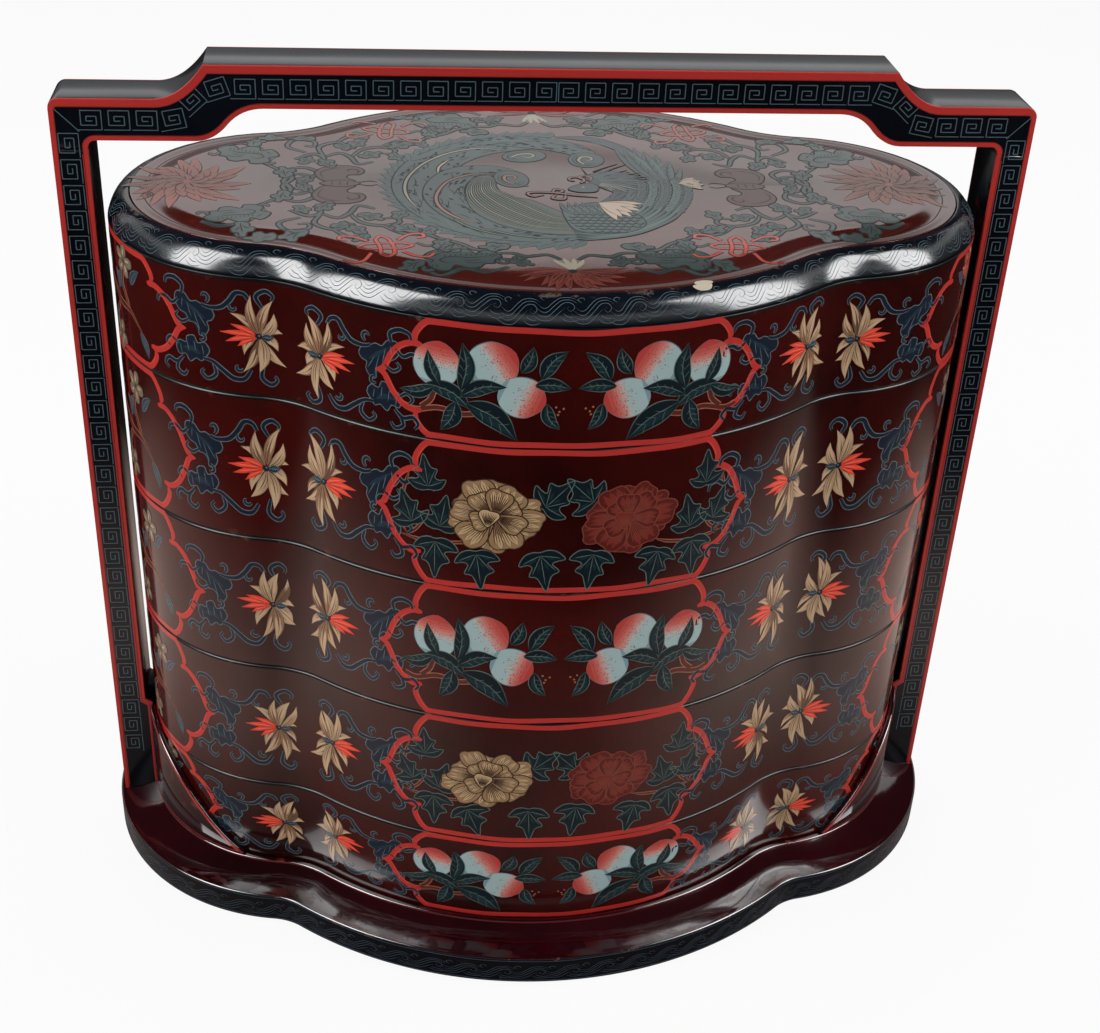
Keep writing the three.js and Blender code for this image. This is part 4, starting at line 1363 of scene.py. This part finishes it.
def phoenix(pen):
    """A curled phoenix in a circle of radius 82: plumes on the left, wing, breast and head on the right."""
    blue, line = "lid_blue", "lid_blue_line"
    feathers(pen, ring_path((76, 78, 78, 74), 88, 282, 15), 34, 13, 7.4, -148, blue, line, 0)
    plume(pen, ring_path((64, 65, 65, 66, 64), 66, 292, 17), 29, 1.6, 46)
    plume(pen, [(-34, 66), (-12, 68), (10, 62), (24, 50), (27, 34)], 19, 3.4, 14)
    eye(pen.at(26, 37, 80), 5, "lid_pale")
    eye(pen.at(-7, 43, 20), 5, "lid_pale")
    spine = [(-12, 47), (-28, 56), (-46, 50), (-60, 35), (-70, 14), (-73, -6), (-70, -24), (-63, -38)]
    shaft(pen, spine, "lid_pale", 3.8)
    shaft(pen, [(-49, 37), (-54, 26), (-55, 15)], "lid_cream", 3.8, 1.2)
    tail = [
        (-12, -4), (-14, 10), (-26, 19), (-42, 16), (-52, -2), (-52, -22), (-40, -44), (-16, -60),
        (12, -66),
    ]
    plume(pen, tail, 21, 4.4, 30)
    spine = [(-20, 15), (-36, 14), (-50, 4), (-57, -14), (-56, -30), (-48, -44), (-34, -55)]
    shaft(pen, spine, "lid_rose", 6.4)
    eye(pen.at(-17, 7, 96), 6.6, "lid_rose")
    fan = [
        (-36, 9), (-27, 10), (-25, -8), (-19, -18), (-9, -23), (3, -36), (13, -44), (16, -64),
        (-8, -63), (-28, -52), (-40, -34), (-42, -10),
    ]
    pen.edged(fan, "lid_plume", line, 0.6, 8.6)
    for number in range(15):
        share = number / 14
        strand = [
            (-36 + 9 * share, 9), (-41 + 15 * share, -8), (-40 + 21 * share, -24 + 7 * share),
            (-31 + 22 * share, -42 + 13 * share), (-14 + 16 * share, -56 + 14 * share),
            (13, -62 + 15 * share),
        ]
        ink = "lid_pale" if number % 5 == 2 else "lid_plume_light"
        pen.bordered(strand, 0.7, 0.8, ink, line, 9.4, tapered_shape, 2)
    for path in (
        [(-45, -28), (-32, -44), (-14, -56)], [(-36, -57), (-20, -66), (0, -70)],
        [(-52, -44), (-40, -58), (-24, -68)],
    ):
        shaft(pen, path, "lid_plume_light", 7.4, 0.9)

    neck = [(12, 76), (32, 73), (46, 60), (53, 44), (58, 24)]
    pen.bordered(neck, 8.0, 1.0, "lid_dark", line, 4, crescent, 2, 0.6)
    for shift in (-2.4, -0.8, 0.8, 2.4):
        path = [(20, 75 + shift), (35 + shift, 70 + shift), (46 + shift, 58), (53 + shift, 42)]
        pen.stroke(path, 0.6, "lid_blue_light", 5.3, 2)
    quills = (
        ((60, 0), (44, 66)), ((61, 2), (49, 64)), ((62, 4), (55, 61)), ((63, 4), (60, 55)),
        ((64, 4), (66, 49)), ((66, 4), (72, 38)), ((67, 2), (77, 27)),
    )
    for number, (root, tip) in enumerate(quills):
        narrow_leaf(pen, root, tip, 8.0, blue, line, 0.03, 5.4 + 1.5 * (number % 2))
    for number, reach in enumerate((74, 66, 58, 50, 43)):
        path = ring_path((reach, reach), 10 - 3 * number, -52, 7)
        ink = blue if number % 2 else "lid_dark"
        feathers(pen, path, 17 - number, 16, 6.0, -24, ink, line, 8 + 0.8 * number)
    for number, reach in enumerate((77, 71, 65, 59, 53)):
        path = ring_path((reach, reach), 6, -26, 5)
        ink = "lid_blue_light" if number % 2 else blue
        feathers(pen, path, 11, 7.5, 4.4, -28, ink, line, 12 + 0.7 * number)
    for number in range(9):
        strand = ring_path((76 - 2.8 * number, 75 - 2.3 * number, 73 - 1.8 * number), -22, -82, 7)
        ink = "lid_blue_light" if number % 3 == 1 else blue
        pen.bordered(strand, 2.5, 1.1, ink, line, 12.4 + 0.3 * number, crescent, 2)
    breast = [
        (6, -34), (16, -28), (26, -26), (40, -36), (46, -44), (46, -54), (36, -62), (22, -64),
        (10, -60), (6, -46),
    ]
    pen.edged(breast, blue, line, 0.7, 15.8)
    for row in range(9):
        for column in range(10):
            x, y = 8 + 4.2 * column + (2.1 if row % 2 else 0), -32 - 3.6 * row
            if math.hypot(x - 26, (y + 46) * 1.15) < 18.6:
                scale = pen.at(x, y)
                scale.stroke(spiral((0, 0), 2.3, 190, 170, 1.0, 5), 1.1, line, 16.5)
                scale.band([(-0.9, 0.4), (0.9, 0.4)], 1.3, "lid_blue_light", 16.5, round_shape)
    for x in (6, 10, 14, 18, 22, 26):
        narrow_leaf(pen, (x + 5, -41), (x - 1, -25), 4.0, blue, line, 0.05, 17.2)
    for number, turn in enumerate(range(-46, 62, 6)):
        long = 36 - 0.006 * (turn - 6) ** 2 - 3 * (number % 2)
        lock = pen.at(22, 3, turn)
        path = [(2, 0), (long * 0.5, 1.6), (long, -0.6)]
        ink = "lid_dark" if number % 2 else blue
        lock.bordered(path, 4.0, 1.0, ink, line, 14.6 + 0.7 * (number % 3), leaf_shape)
        ink = "lid_pale" if turn < -20 else "lid_blue_light"
        lock.band([(8, 0.7), (long * 0.6, 1.7), (long * 0.9, 0)], 0.6, ink, 17.2)
    for start, end in (((28, 18), (42, 31)), ((34, 18), (46, 30)), ((24, 12), (22, 24))):
        pen.band([start, end], 1.3, line, 15.8, comma_shape)
    pen.edged([(12, -8), (17, -2), (24, 1), (28, -4), (26, -11), (18, -12)], blue, line, 0.6, 17.6)
    spot(pen, 20, -5, 1.0, "lid_pale", 18.6)
    for centre, reach in (((16.5, 6), 5.6), ((21.5, 8.5), 4.6)):
        comb = spiral(centre, reach, -60, 330, 0.3, 12)
        pen.bordered(comb, 1.6, 1.0, "lid_rose", line, 17.8, comma_tail, lift=0.6)
    shell(pen.at(71, 2, 8, layer=16.4), 14, 4.4)
    shell(pen.at(26, -26, -36, layer=18.4), 22, 4.8)
    for path in (
        [(26, -19), (12, -15), (0, -12), (-10, -13), (-8, -18), (-2, -16)],
        [(10, -15), (8, -21), (2, -20), (5, -15)],
        [(3, -13), (5, -8), (9, -10), (6, -13)],
    ):
        shaft(pen, path, "lid_rose", 18, 1.3)


def daisy(pen, rng, radius, fill):
    """A flower of many pointed petals in three rings, seen from in front."""
    rings = ((18, 1.0, 6.4), (14, 0.7, 6.0), (9, 0.42, 5.0))
    for ring_number, (count, share, width) in enumerate(rings):
        for number in range(count):
            turn = 360 * number / count + 9 * ring_number + rng.uniform(-5, 5)
            petal = pen.at(0, 0, turn, layer=2.2 * ring_number + 0.5 * (number % 3))
            long = radius * share * rng.uniform(0.8, 1.12)
            path = [(1, 0), (long * 0.5, -1.4), (long, 2.2)]
            petal.bordered(path, width, 0.9, fill, "lid_outline", 0, petal_shape, lift=0.4)
            petal.stroke([(2, 0.2), (long * 0.75, 0.2)], 0.5, "lid_outline", 1.0, 3)
    spot(pen, 0, 0, 2.4, "lid_coral", 8)


def side_flower(pen, rng):
    """A flower seen from its side, whose pointed petals droop to both sides of +Y."""
    for side in (-1, 1):
        for number in range(7):
            turn = -90 + side * (16 + 13 * number) + rng.uniform(-4, 4)
            long = 19 + 1.6 * number + rng.uniform(-2, 2)
            petal = pen.at(0, 0, turn, layer=0.5 * (number % 3))
            path = [(2, 0), (long * 0.5, -1.0), (long, 1.8)]
            petal.bordered(path, 4.4, 1.0, "lid_petal", "lid_outline", 0, leaf_shape)
            petal.stroke([(3, 0.3), (long * 0.8, 0.4)], 0.6, "lid_outline", 1.1, 3)
    for turn in (62, 80, 98, 118):
        pen.at(0, 0, turn).band([(0, 0), (9, 0), (16, 0.8)], 2.9, "lid_pale", 2.4, petal_shape)
    spot(pen, 0, -1, 2.4, "lid_blue_line", 3.2)
    for sign in (1, -1):
        vine = [(4, 14), (10, 20), (20, 18), (27, 22), (35, 21), (38, 17)]
        hook(pen, [(sign * x, y) for x, y in vine], 2.0, "lid_vine", "lid_leaf_line", 0, 1.6)
        hook(pen, spiral((sign * 24, 15), 3.4, 90, sign * -250), 1.4, "lid_vine", "lid_leaf_line", 0, 1.4)


def bat(pen):
    """A plain bat whose curled wings spread up and down, mostly in outline."""
    for flip in (1, -1):
        wing = [
            (-7, 3), (-12, 8), (-14, 17), (-9, 25), (1, 27.5), (9, 25), (12.5, 19), (10, 13.4),
            (4.6, 13), (3, 9), (7, 3),
        ]
        outline = [(x, flip * y) for x, y in wing]
        pen.patch(outline, "lid_red", 0, 2)
        pen.band(outline, 0.8, "lid_outline", 0.8, step=1.5, closed=True)
        curl = [(x, flip * y) for x, y in spiral((5.4, 18.8), 5.0, -80, 330, 0.2, 10)]
        pen.stroke(curl, 0.8, "lid_outline", 1.2)
        inner = [(x, flip * y) for x, y in ((-9, 7), (-11, 16), (-6, 22), (2, 24))]
        pen.stroke(inner, 0.6, "lid_outline", 1.0, 3)
    trunk = [(-11, 0), (-6, 3.8), (3, 4.4), (10, 0), (3, -4.4), (-6, -3.8)]
    pen.edged(trunk, "lid_red", "lid_outline", 0.7, 1.2)
    for x in (-5, -1, 3):
        pen.stroke([(x, -2.6), (x + 0.4, 2.6)], 0.6, "lid_outline", 2.0)
    for y in (-1.4, 1.4):
        pen.stroke([(9, y), (15, 2.4 * y), (19, 1.2 * y)], 0.7, "lid_outline", 2.0)


def ribbon_knot(pen, ink):
    """A knotted ribbon: two crossed bars, a square knot and four curled ends."""
    strokes = (
        [(-11, 4), (0, 5), (11, 4)], [(-10, -4), (0, -3), (10, -4)], [(-4, 11), (-3, 0), (-4, -11)],
        [(4, 11), (5, 0), (4, -11)], [(-4, 11), (0, 16), (4, 11)], [(-4, -11), (0, -15), (4, -11)],
        [(-11, 4), (-15, 0), (-10, -4)], [(11, 4), (16, 0), (10, -4)],
        [(9, 9), (16, 16), (23, 17), (24, 12), (20, 11)],
        [(-9, 9), (-16, 16), (-23, 17), (-24, 12), (-20, 11)],
        [(9, -9), (15, -16), (22, -18), (26, -14)], [(-9, -9), (-15, -16), (-22, -18), (-26, -14)],
    )
    for number, path in enumerate(strokes):
        pen.bordered(path, 2.1, 0.9, ink, "lid_outline", 0.7 * (number % 3), step=1.4)


def cloud_leaf(pen):
    """A broad lobed scroll leaf, about 34 across, with a comb of veins."""
    outline = [
        (-17, -1), (-15, -7), (-10, -9), (-6, -6), (-3, -11), (3, -12), (6, -8), (10, -12), (15, -9),
        (18, -4), (14, 0), (17, 5), (13, 10), (8, 11), (5, 7), (0, 11), (-5, 11), (-8, 7), (-12, 7),
        (-13, 3),
    ]
    pen.edged(outline, "lid_leaf", "lid_leaf_line", 1.0)
    pen.stroke([(-12, -2), (-3, -1), (6, -3), (11, 0), (8, 4), (4, 2.4)], 0.9, "lid_leaf_line", 1.2)
    for number in range(9):
        x = -10 + 2.3 * number
        pen.stroke([(x, -2.6), (x - 1.2, -6.4)], 0.6, "lid_leaf_line", 1.2, 3)
    for points in ([(-9, 5), (-3, 5.6), (1, 3.4)], [(-7, 1.8), (-2, 2.6), (1, 1.0)], [(9, -8), (13, -5)]):
        pen.stroke(points, 0.7, "lid_leaf_line", 1.2)
    hook(pen, spiral((18, 6), 4.0, 200, -250), 1.8, "lid_leaf", "lid_leaf_line", -0.4, 1.5)
    hook(pen, spiral((-17, 5), 3.6, -40, 250), 1.8, "lid_leaf", "lid_leaf_line", -0.4, 1.5)


def small_leaf(pen):
    """A curled leaf of four lobes."""
    outline = [
        (-8, 0), (-6, -3.6), (-2.4, -3.4), (0, -6.0), (3.8, -5.6), (5.0, -2.6), (9.0, -2.6), (9.6, 0.6),
        (5.8, 2.0), (5.4, 5.2), (1.6, 6.4), (-0.6, 3.8), (-4.4, 4.4),
    ]
    pen.edged(outline, "lid_leaf", "lid_leaf_line", 0.95)
    for points in (
        [(-6, 0), (-1, -0.6), (5.6, -0.4)], [(-2, 0.4), (1, 1.8), (2.4, 4.2)], [(0, -1), (2.4, -3.8)],
    ):
        pen.stroke(points, 0.75, "lid_leaf_line", 1.2)


def lid_vines(pen):
    """The scrolling vines of one quarter, from the end flower to the flower at the middle of the front."""
    vine = {"fill": "lid_vine", "line": "lid_leaf_line"}
    stems = (
        [(150, 30), (141, 20), (134, 8), (138, -4), (132, -14), (124, -10), (126, -2)],
        [(142, 18), (130, 24), (122, 18), (124, 10), (130, 12)],
        [(134, 36), (124, 44), (118, 38), (122, 30)],
        [(128, 46), (138, 54), (134, 64), (124, 62), (124, 55), (129, 56)],
        [(118, 40), (110, 46), (104, 40), (100, 30), (92, 34)],
        [(118, 40), (121, 54), (112, 62), (104, 56), (107, 50)],
        [(104, 40), (98, 52), (88, 56), (80, 52), (82, 46), (88, 47)],
        [(88, 56), (78, 66), (66, 68), (60, 76), (66, 82), (72, 78)],
        [(64, 70), (52, 78), (44, 86), (34, 86), (30, 80), (35, 77)],
        [(44, 86), (36, 96), (26, 98), (16, 92)],
        [(150, 60), (158, 66), (150, 72), (140, 68)],
        [(176, 52), (166, 58), (156, 54), (150, 46)],
        [(30, 108), (40, 114), (50, 110), (62, 114), (70, 106)],
        [(112, 62), (104, 72), (96, 70), (98, 64)],
    )
    for number, path in enumerate(stems):
        hook(pen, path, 2.1, layer=0.7 * (number % 3), edge=1.7, **vine)
    for x, y, turn, size in ((160, 42, 200, 0.95), (50, 98, 8, 1.05)):
        cloud_leaf(pen.at(x, y, turn, size, layer=2.4))
    leaves = (
        (128, 34, 120), (116, 30, 60), (130, 68, 20), (108, 56, 200), (94, 44, 150), (76, 60, 330),
        (66, 62, 60), (56, 86, 200), (34, 82, 10), (80, 42, 250), (100, 62, 300), (146, 70, 10),
        (24, 102, 160), (74, 104, 30), (138, 16, 80), (128, -4, 260), (60, 80, 250), (156, 60, 100),
        (98, 72, 60),
    )
    for number, (x, y, turn) in enumerate(leaves):
        small_leaf(pen.at(x, y, turn, 0.72 + 0.1 * (number % 3), layer=2.4))


def paint_lid():
    rng = np.random.default_rng(11)
    drawing = Drawing(0.012)
    pen = Pen(drawing)
    rim = (PLAN_POINTS - (SHOULDER_WIDTH + 7.2) * PLAN_NORMALS)[::2]
    pen.band(rim, 0.7, "lid_outline", 0, step=6, closed=True)
    for flip_x in (False, True):
        for flip_y in (1, -1):
            lid_vines(pen.at(flip=flip_x, tall=flip_y))
    phoenix(pen.at(-3, -1.5))
    daisy(pen.at(-187, 1, layer=3), rng, 34, "lid_ruddy")
    daisy(pen.at(183, 2, 10, layer=3), rng, 35, "lid_orange")
    side_flower(pen.at(0, -112, layer=3), rng)
    side_flower(pen.at(0, 112, 180, layer=3), rng)
    bat(pen.at(-109, 0, layer=2))
    bat(pen.at(103, -1, flip=True, layer=2))
    knots = (
        (-87, -83, 8, "lid_coral"),
        (84, -83, -8, "lid_coral"),
        (-84, 82, 172, "lid_ruddy"),
        (84, 82, 188, "lid_ruddy"),
    )
    for x, y, turn, ink in knots:
        ribbon_knot(pen.at(x, y, turn, 0.84, layer=4), ink)
    chip = [(56.4, -125.6), (56.4, -122.6), (60.0, -121.0), (63.8, -121.6), (64.6, -123.0), (63.0, -124.2)]
    pen.patch(chip, "chip", 5, 1)
    piece = drawing.lay("lid_top_painting", "lid", [lid_surface], 0.4, 21)


paint_lid()


# Waves on the shoulder and on the base's edge


def shoulder_surface(turn):
    def lay(flat, lift):
        point, normal = plan_at(flat[:, 0] + turn)
        offset, height = shoulder_point(flat[:, 1] / SHOULDER_LENGTH, lift)
        return np.column_stack([point + offset[:, None] * normal, height])
    return lay


def wave_unit(pen, ink="wave"):
    """One roll of a running wave, in a cell 20 long and 14 high: lines that sweep up into a spiral."""
    strokes = (
        [
            (-4, 4.6), (0, 2.4), (4, 2.6), (8, 6), (12, 9.6), (16, 9.6), (17.6, 7), (15.4, 5.2),
            (13.6, 6.6), (14.8, 7.6),
        ],
        [(-3, 6.4), (0.4, 4.3), (3.6, 4.6), (7, 7.8), (11, 11.2), (15.6, 11.6), (19, 9.4)],
        [(-2, 8.2), (0.8, 6.2), (3.2, 6.6), (6, 9.4), (10, 12.8), (15, 13.4), (19.4, 11.4)],
        [(-5, 2.8), (0, 0.6), (5, 0.8), (9.4, 4.2), (12.4, 6.8)],
        [(1.4, 10.6), (-0.6, 12.4), (1, 14), (3.2, 13.2), (2.4, 12)],
        [(10, 2.6), (13, 0.8), (17, 0.6), (20, 1.6)],
        [(11.6, 4), (14.4, 2.6), (17.4, 2.4)],
    )
    for path in strokes:
        pen.stroke(path, 0.36, ink, 0, 1.3)


def level_line(travels, height):
    return np.column_stack([travels, np.full(len(travels), height)])


def paint_waves():
    drawing = Drawing()
    pen = Pen(drawing)
    count = 34
    length = ROUND / 2 / count
    for number in range(count):
        low = 1.6 + 1.0 * math.sin(number * 2.4)
        wave_unit(pen.at(-ROUND / 4 + number * length, low, size=length / 20, tall=0.98))
    chip = [(59.4, 17.0), (59.0, 14.2), (61.6, 12.2), (66.4, 12.2), (68.6, 14.6), (68.2, 17.0)]
    pen.patch(chip, "chip", 2, 1)
    surfaces = [shoulder_surface(turn) for turn in (0, ROUND / 2)]
    piece = drawing.lay("shoulder_waves", "lid", surfaces, 0.4, 31)

    drawing = Drawing()
    pen = Pen(drawing)
    for number in range(count):
        wave_unit(pen.at(-ROUND / 4 + number * length, 3.0, size=length / 20, tall=0.8), "edge_wave")
    travels = np.linspace(-ROUND / 4, ROUND / 4, 120)
    for height, width in ((1.5, 0.5), (16.2, 0.4)):
        pen.band(level_line(travels, height), width, "edge_wave", 0, step=6)
    edges = [plan_surface(turn, OVERHANG) for turn in (0, ROUND / 2)]
    piece = drawing.lay("base_waves", "base", edges, 0.3, 32)


paint_waves()


# The carrying frame's borders and fret


def set_in(path, distance):
    """The path moved to its left by a distance, which may differ from point to point."""
    path = np.asarray(path, float)
    edges = np.diff(path, axis=0)
    edges /= np.hypot(*edges.T)[:, None]
    normals = np.column_stack([-edges[:, 1], edges[:, 0]])
    before, after = np.vstack([normals[:1], normals]), np.vstack([normals, normals[-1:]])
    mitre = (before + after) / (1 + (before * after).sum(1))[:, None]
    return path + mitre * np.reshape(distance, (-1, 1))


def no_repeats(path):
    """The path without points that fall on the one before."""
    path = np.asarray(path, float)
    keep = np.concatenate([[True], np.hypot(*np.diff(path, axis=0).T) > 0.05])
    return path[keep]


INNER_HALF = [
    (0, RAISED_UNDER), *BAR_UNDERSIDE[:-1], (POST_INNER, POST_HEAD - POST_CORNER),
    (POST_INNER, FOOT_TOP + FOOT_STEP), (FOOT_INNER, FOOT_TOP), (FOOT_INNER, EDGE_HEIGHT + 0.4),
]
OUTER_HALF = [(0, RAISED_TOP), *BAR_TOP[::-1], (POST_OUTER, EDGE_HEIGHT + 0.4)]


def frame_face(side):
    def lay(flat, lift):
        return np.column_stack([side * flat[:, 0], -side * (FRAME_DEPTH / 2 + lift), flat[:, 1]])
    return lay


def fret_unit(pen, width, height):
    """One squared spiral that winds in from its left side, over a base line that runs to the next."""
    corners = (
        (0.0, 0.0), (0.0, 1.0), (0.82, 1.0), (0.82, 0.24), (0.2, 0.24), (0.2, 0.7), (0.6, 0.7),
        (0.6, 0.46), (0.36, 0.46),
    )
    corners = np.array(corners) * [width, height]
    for start, end in zip(corners, corners[1:]):
        pen.band([start, end], 0.55, "fret", 0, step=6)
    pen.band([(0, 0), (width * 1.02, 0)], 0.5, "fret", 0.2, step=6)


def paint_frame():
    drawing = Drawing()
    pen = Pen(drawing)
    inner, outer = no_repeats(INNER_HALF), no_repeats(OUTER_HALF)
    in_width = np.interp(inner[:, 1], (84, 429, 432), (1.6, 2.2, 2.6))
    out_width = np.interp(outer[:, 1], (84, 450, 456), (2.2, 2.8, 3.8))
    for flip in (False, True):
        side = pen.at(flip=flip)
        side.fill(set_in(inner, 0.2), set_in(inner, in_width), "coral", 1, False)
        side.fill(set_in(outer, -0.2), set_in(outer, -out_width), "coral", 1, False)
        side.fill(set_in(inner, in_width), set_in(inner, in_width + 0.4), "coral_dark", 1.6, False)
        side.fill(set_in(outer, -out_width), set_in(outer, -out_width - 0.4), "coral_dark", 1.6, False)
    top, shoulder, post = 461.0, 444.6, 241.3
    middle = no_repeats([
        (0, top), (160, top), *bend((167, top), (177, 459), (185, 450), 8), (191, shoulder),
        (post, shoulder), (post, 20),
    ])
    lengths = np.concatenate([[0], np.cumsum(np.hypot(*np.diff(middle, axis=0).T))])
    corner = lengths[-2]
    pitch = 13.5
    along_bar = np.arange(pitch / 2, corner - 9, pitch)
    down_post = np.arange(corner + 13, lengths[-1] - 24, pitch)
    for flip in (False, True):
        side = pen.at(flip=flip)
        for travel in (*along_bar, *down_post):
            x, z = (np.interp(travel, lengths, values) for values in middle.T)
            nx, nz = (np.interp(travel + 3, lengths, values) for values in middle.T)
            turn = math.degrees(math.atan2(nz - z, nx - x))
            fret_unit(side.at(x, z, turn).at(-6.2, -4.9), 12.2, 9.8)
        side.band([(235.6, 438.8), (247.0, 450.4)], 0.55, "fret", 0.3, step=6)
    piece = drawing.lay("frame_fret", "base", [frame_face(1), frame_face(-1)])


paint_frame()


def paint_fences():
    drawing = Drawing()
    pen = Pen(drawing)
    shares = np.linspace(0.01, 0.99, 40)
    heights = fence_top(shares) - 1.7
    for sign in (-1, 1):
        travels = sign * (QUARTER - FENCE_START - FENCE_LENGTH * shares)
        pen.band(np.column_stack([travels, heights]), 1.6, "coral", 0, step=3)
        pen.band(level_line(travels, LIP_HEIGHT + JOINT_GAP + 1.4), 1.1, "coral_dark", 0, step=3)
    travels = np.linspace(-ROUND / 4 + 18, ROUND / 4 - 18, 160)
    pen.band(level_line(travels, EDGE_HEIGHT + 6.1), 0.7, "coral_dark", 0, step=5)
    cheeks = [plan_surface(turn, LIP_OUTER) for turn in (0, ROUND / 2)]
    piece = drawing.lay("fence_lines", "base", cheeks)


paint_fences()


# Stage: floor, camera, world and lamps


def stage():
    """A pale floor and a studio world, which the camera sees as white.

    Gloss mirrors the floor as a warm ring round the base, and the world as a bright band 18 to 29
    degrees above the horizon.
    """
    mesh = bpy.data.meshes.new("floor")
    reach = 5.0
    corners = [(x * reach, y * reach, 0) for x, y in ((-1, -1), (1, -1), (1, 1), (-1, 1))]
    mesh.from_pydata(corners, [], [(0, 1, 2, 3)])
    nodes = new_material("floor")
    nodes.shine(Base_Color=(0.6, 0.6, 0.6, 1), Roughness=0.9, Specular_IOR_Level=0.1)
    path = nodes.node("ShaderNodeLightPath").outputs
    warm = nodes.mix(path["Is Camera Ray"], (1.0, 0.78, 0.68, 1), (1, 1, 1, 1))
    glow = nodes.node("ShaderNodeEmission", {"Color": warm})
    squeeze = {0: nodes.place(), 1: (0.58, 1.0, 1.0)}
    squeezed = nodes.node("ShaderNodeVectorMath", squeeze, operation="MULTIPLY").outputs[0]
    distance = nodes.node("ShaderNodeVectorMath", {0: squeezed}, operation="LENGTH").outputs["Value"]
    sideways = nodes.node("ShaderNodeSeparateXYZ", {0: nodes.place()}).outputs["X"]
    across = nodes.maths("ABSOLUTE", sideways, 0.0)
    near, far = nodes.span(distance, 0.17, 0.25, 0.3, 1.0), nodes.span(distance, 0.30, 0.50, 1.0, 0.03)
    side = nodes.span(across, 0.08, 0.32, 0.2, 0.8)
    level = nodes.maths("MULTIPLY", nodes.maths("MULTIPLY", near, far), side)
    level = nodes.maths("MAXIMUM", level, path["Is Camera Ray"])
    nodes.feed(glow.inputs["Strength"], level)
    seen = nodes.maths("MULTIPLY", path["Is Camera Ray"], 0.9)
    share = nodes.maths("MAXIMUM", seen, path["Is Glossy Ray"])
    blend = nodes.node("ShaderNodeMixShader", {0: share, 1: nodes.shader.outputs[0], 2: glow.outputs[0]})
    nodes.feed(nodes.tree.nodes["Material Output"].inputs["Surface"], blend.outputs[0])
    mesh.materials.append(nodes.owner)
    add("floor", mesh)

    world = bpy.data.worlds.new("studio")
    bpy.context.scene.world = world
    nodes = Nodes(world)
    rays = nodes.node("ShaderNodeLightPath").outputs
    direction = nodes.node("ShaderNodeTexCoord").outputs["Generated"]
    height = nodes.node("ShaderNodeSeparateXYZ", {0: direction}).outputs["Z"]
    fade = nodes.node("ShaderNodeValToRGB", {0: height})
    stops = fade.color_ramp.elements
    stops[0].position, stops[1].position = 0.0, 0.22
    for place in (0.285, 0.312, 0.49, 0.51):
        stops.new(place)
    for stop, level in zip(stops, (0.1, 0.2, 0.36, 0.86, 0.86, 0.02)):
        stop.color = (level, level, level, 1)
    mirrored_light = nodes.maths("MULTIPLY", fade.outputs[0], 1.3)
    glossy = nodes.node("ShaderNodeMix", {0: rays["Is Glossy Ray"], 2: 0.4, 3: mirrored_light})
    strength = nodes.maths("MAXIMUM", glossy.outputs[0], rays["Is Camera Ray"])
    nodes.feed(nodes.tree.nodes["Background"].inputs["Strength"], strength)
    nodes.feed(nodes.tree.nodes["Background"].inputs["Color"], (1, 1, 1, 1))
    world.cycles.sampling_method = "NONE"


stage()


def placed(right, up, back, place):
    """The matrix of a lamp or camera, from its three axes and its place."""
    return Matrix([*np.column_stack([right, up, back, place]).tolist(), [0, 0, 0, 1]])


def lamp(name, azimuth, elevation, distance, size, power, reflected=False):
    """A soft rectangular lamp aimed at the middle of the box. Azimuth 0 is the front, 90 the right.

    A reflected lamp is a window that shows in the gloss and adds no light, and a plain one the reverse.
    """
    data = bpy.data.lights.new(name, "AREA")
    data.shape = "RECTANGLE"
    data.size, data.size_y = size
    data.energy = power
    piece = add(name, data)
    a, e = math.radians(azimuth), math.radians(elevation)
    out = np.array([math.sin(a) * math.cos(e), -math.cos(a) * math.cos(e), math.sin(e)])
    across = np.array([math.cos(a), math.sin(a), 0.0])
    rise = np.cross(out, across)
    middle = np.array([0, 0, 0.22]) + out * distance
    piece.matrix_world = placed(across, rise, out, middle)
    piece.visible_camera = False
    piece.visible_diffuse = not reflected
    piece.visible_glossy = reflected


lamp("soft_left", -76, 42, 2.4, (1.6, 1.4), 40)
lamp("soft_right", 80, 42, 2.4, (1.6, 1.4), 36)
lamp("soft_back", 180, 60, 2.4, (1.6, 1.4), 20)
lamp("window_left", -62, 32, 2.2, (1.0, 1.9), 120, True)
lamp("window_right", 66, 32, 2.2, (1.0, 1.9), 110, True)


def camera():
    """The photograph's camera, from its place, its turn and its focal length in pixels."""
    yaw, pitch, roll = 0.1208, 0.5534, 0.0488
    focal_length, photo_width = 1710.44, 1100
    forward = np.array([math.sin(yaw) * math.cos(pitch), math.cos(yaw) * math.cos(pitch), -math.sin(pitch)])
    level = np.array([math.cos(yaw), -math.sin(yaw), 0.0])
    above = np.cross(level, forward)
    right = math.cos(roll) * level + math.sin(roll) * above
    up = -math.sin(roll) * level + math.cos(roll) * above
    place = np.array([-0.0944516, -0.8481008, 0.7296253])
    data = bpy.data.cameras.new("camera")
    data.sensor_fit = "HORIZONTAL"
    data.sensor_width = 36.0
    data.lens = focal_length / photo_width * data.sensor_width
    data.clip_start, data.clip_end = 0.05, 30.0
    piece = add("camera", data)
    piece.matrix_world = placed(right, up, -forward, place)
    bpy.context.scene.camera = piece


camera()
bpy.context.scene.view_settings.view_transform = "Standard"
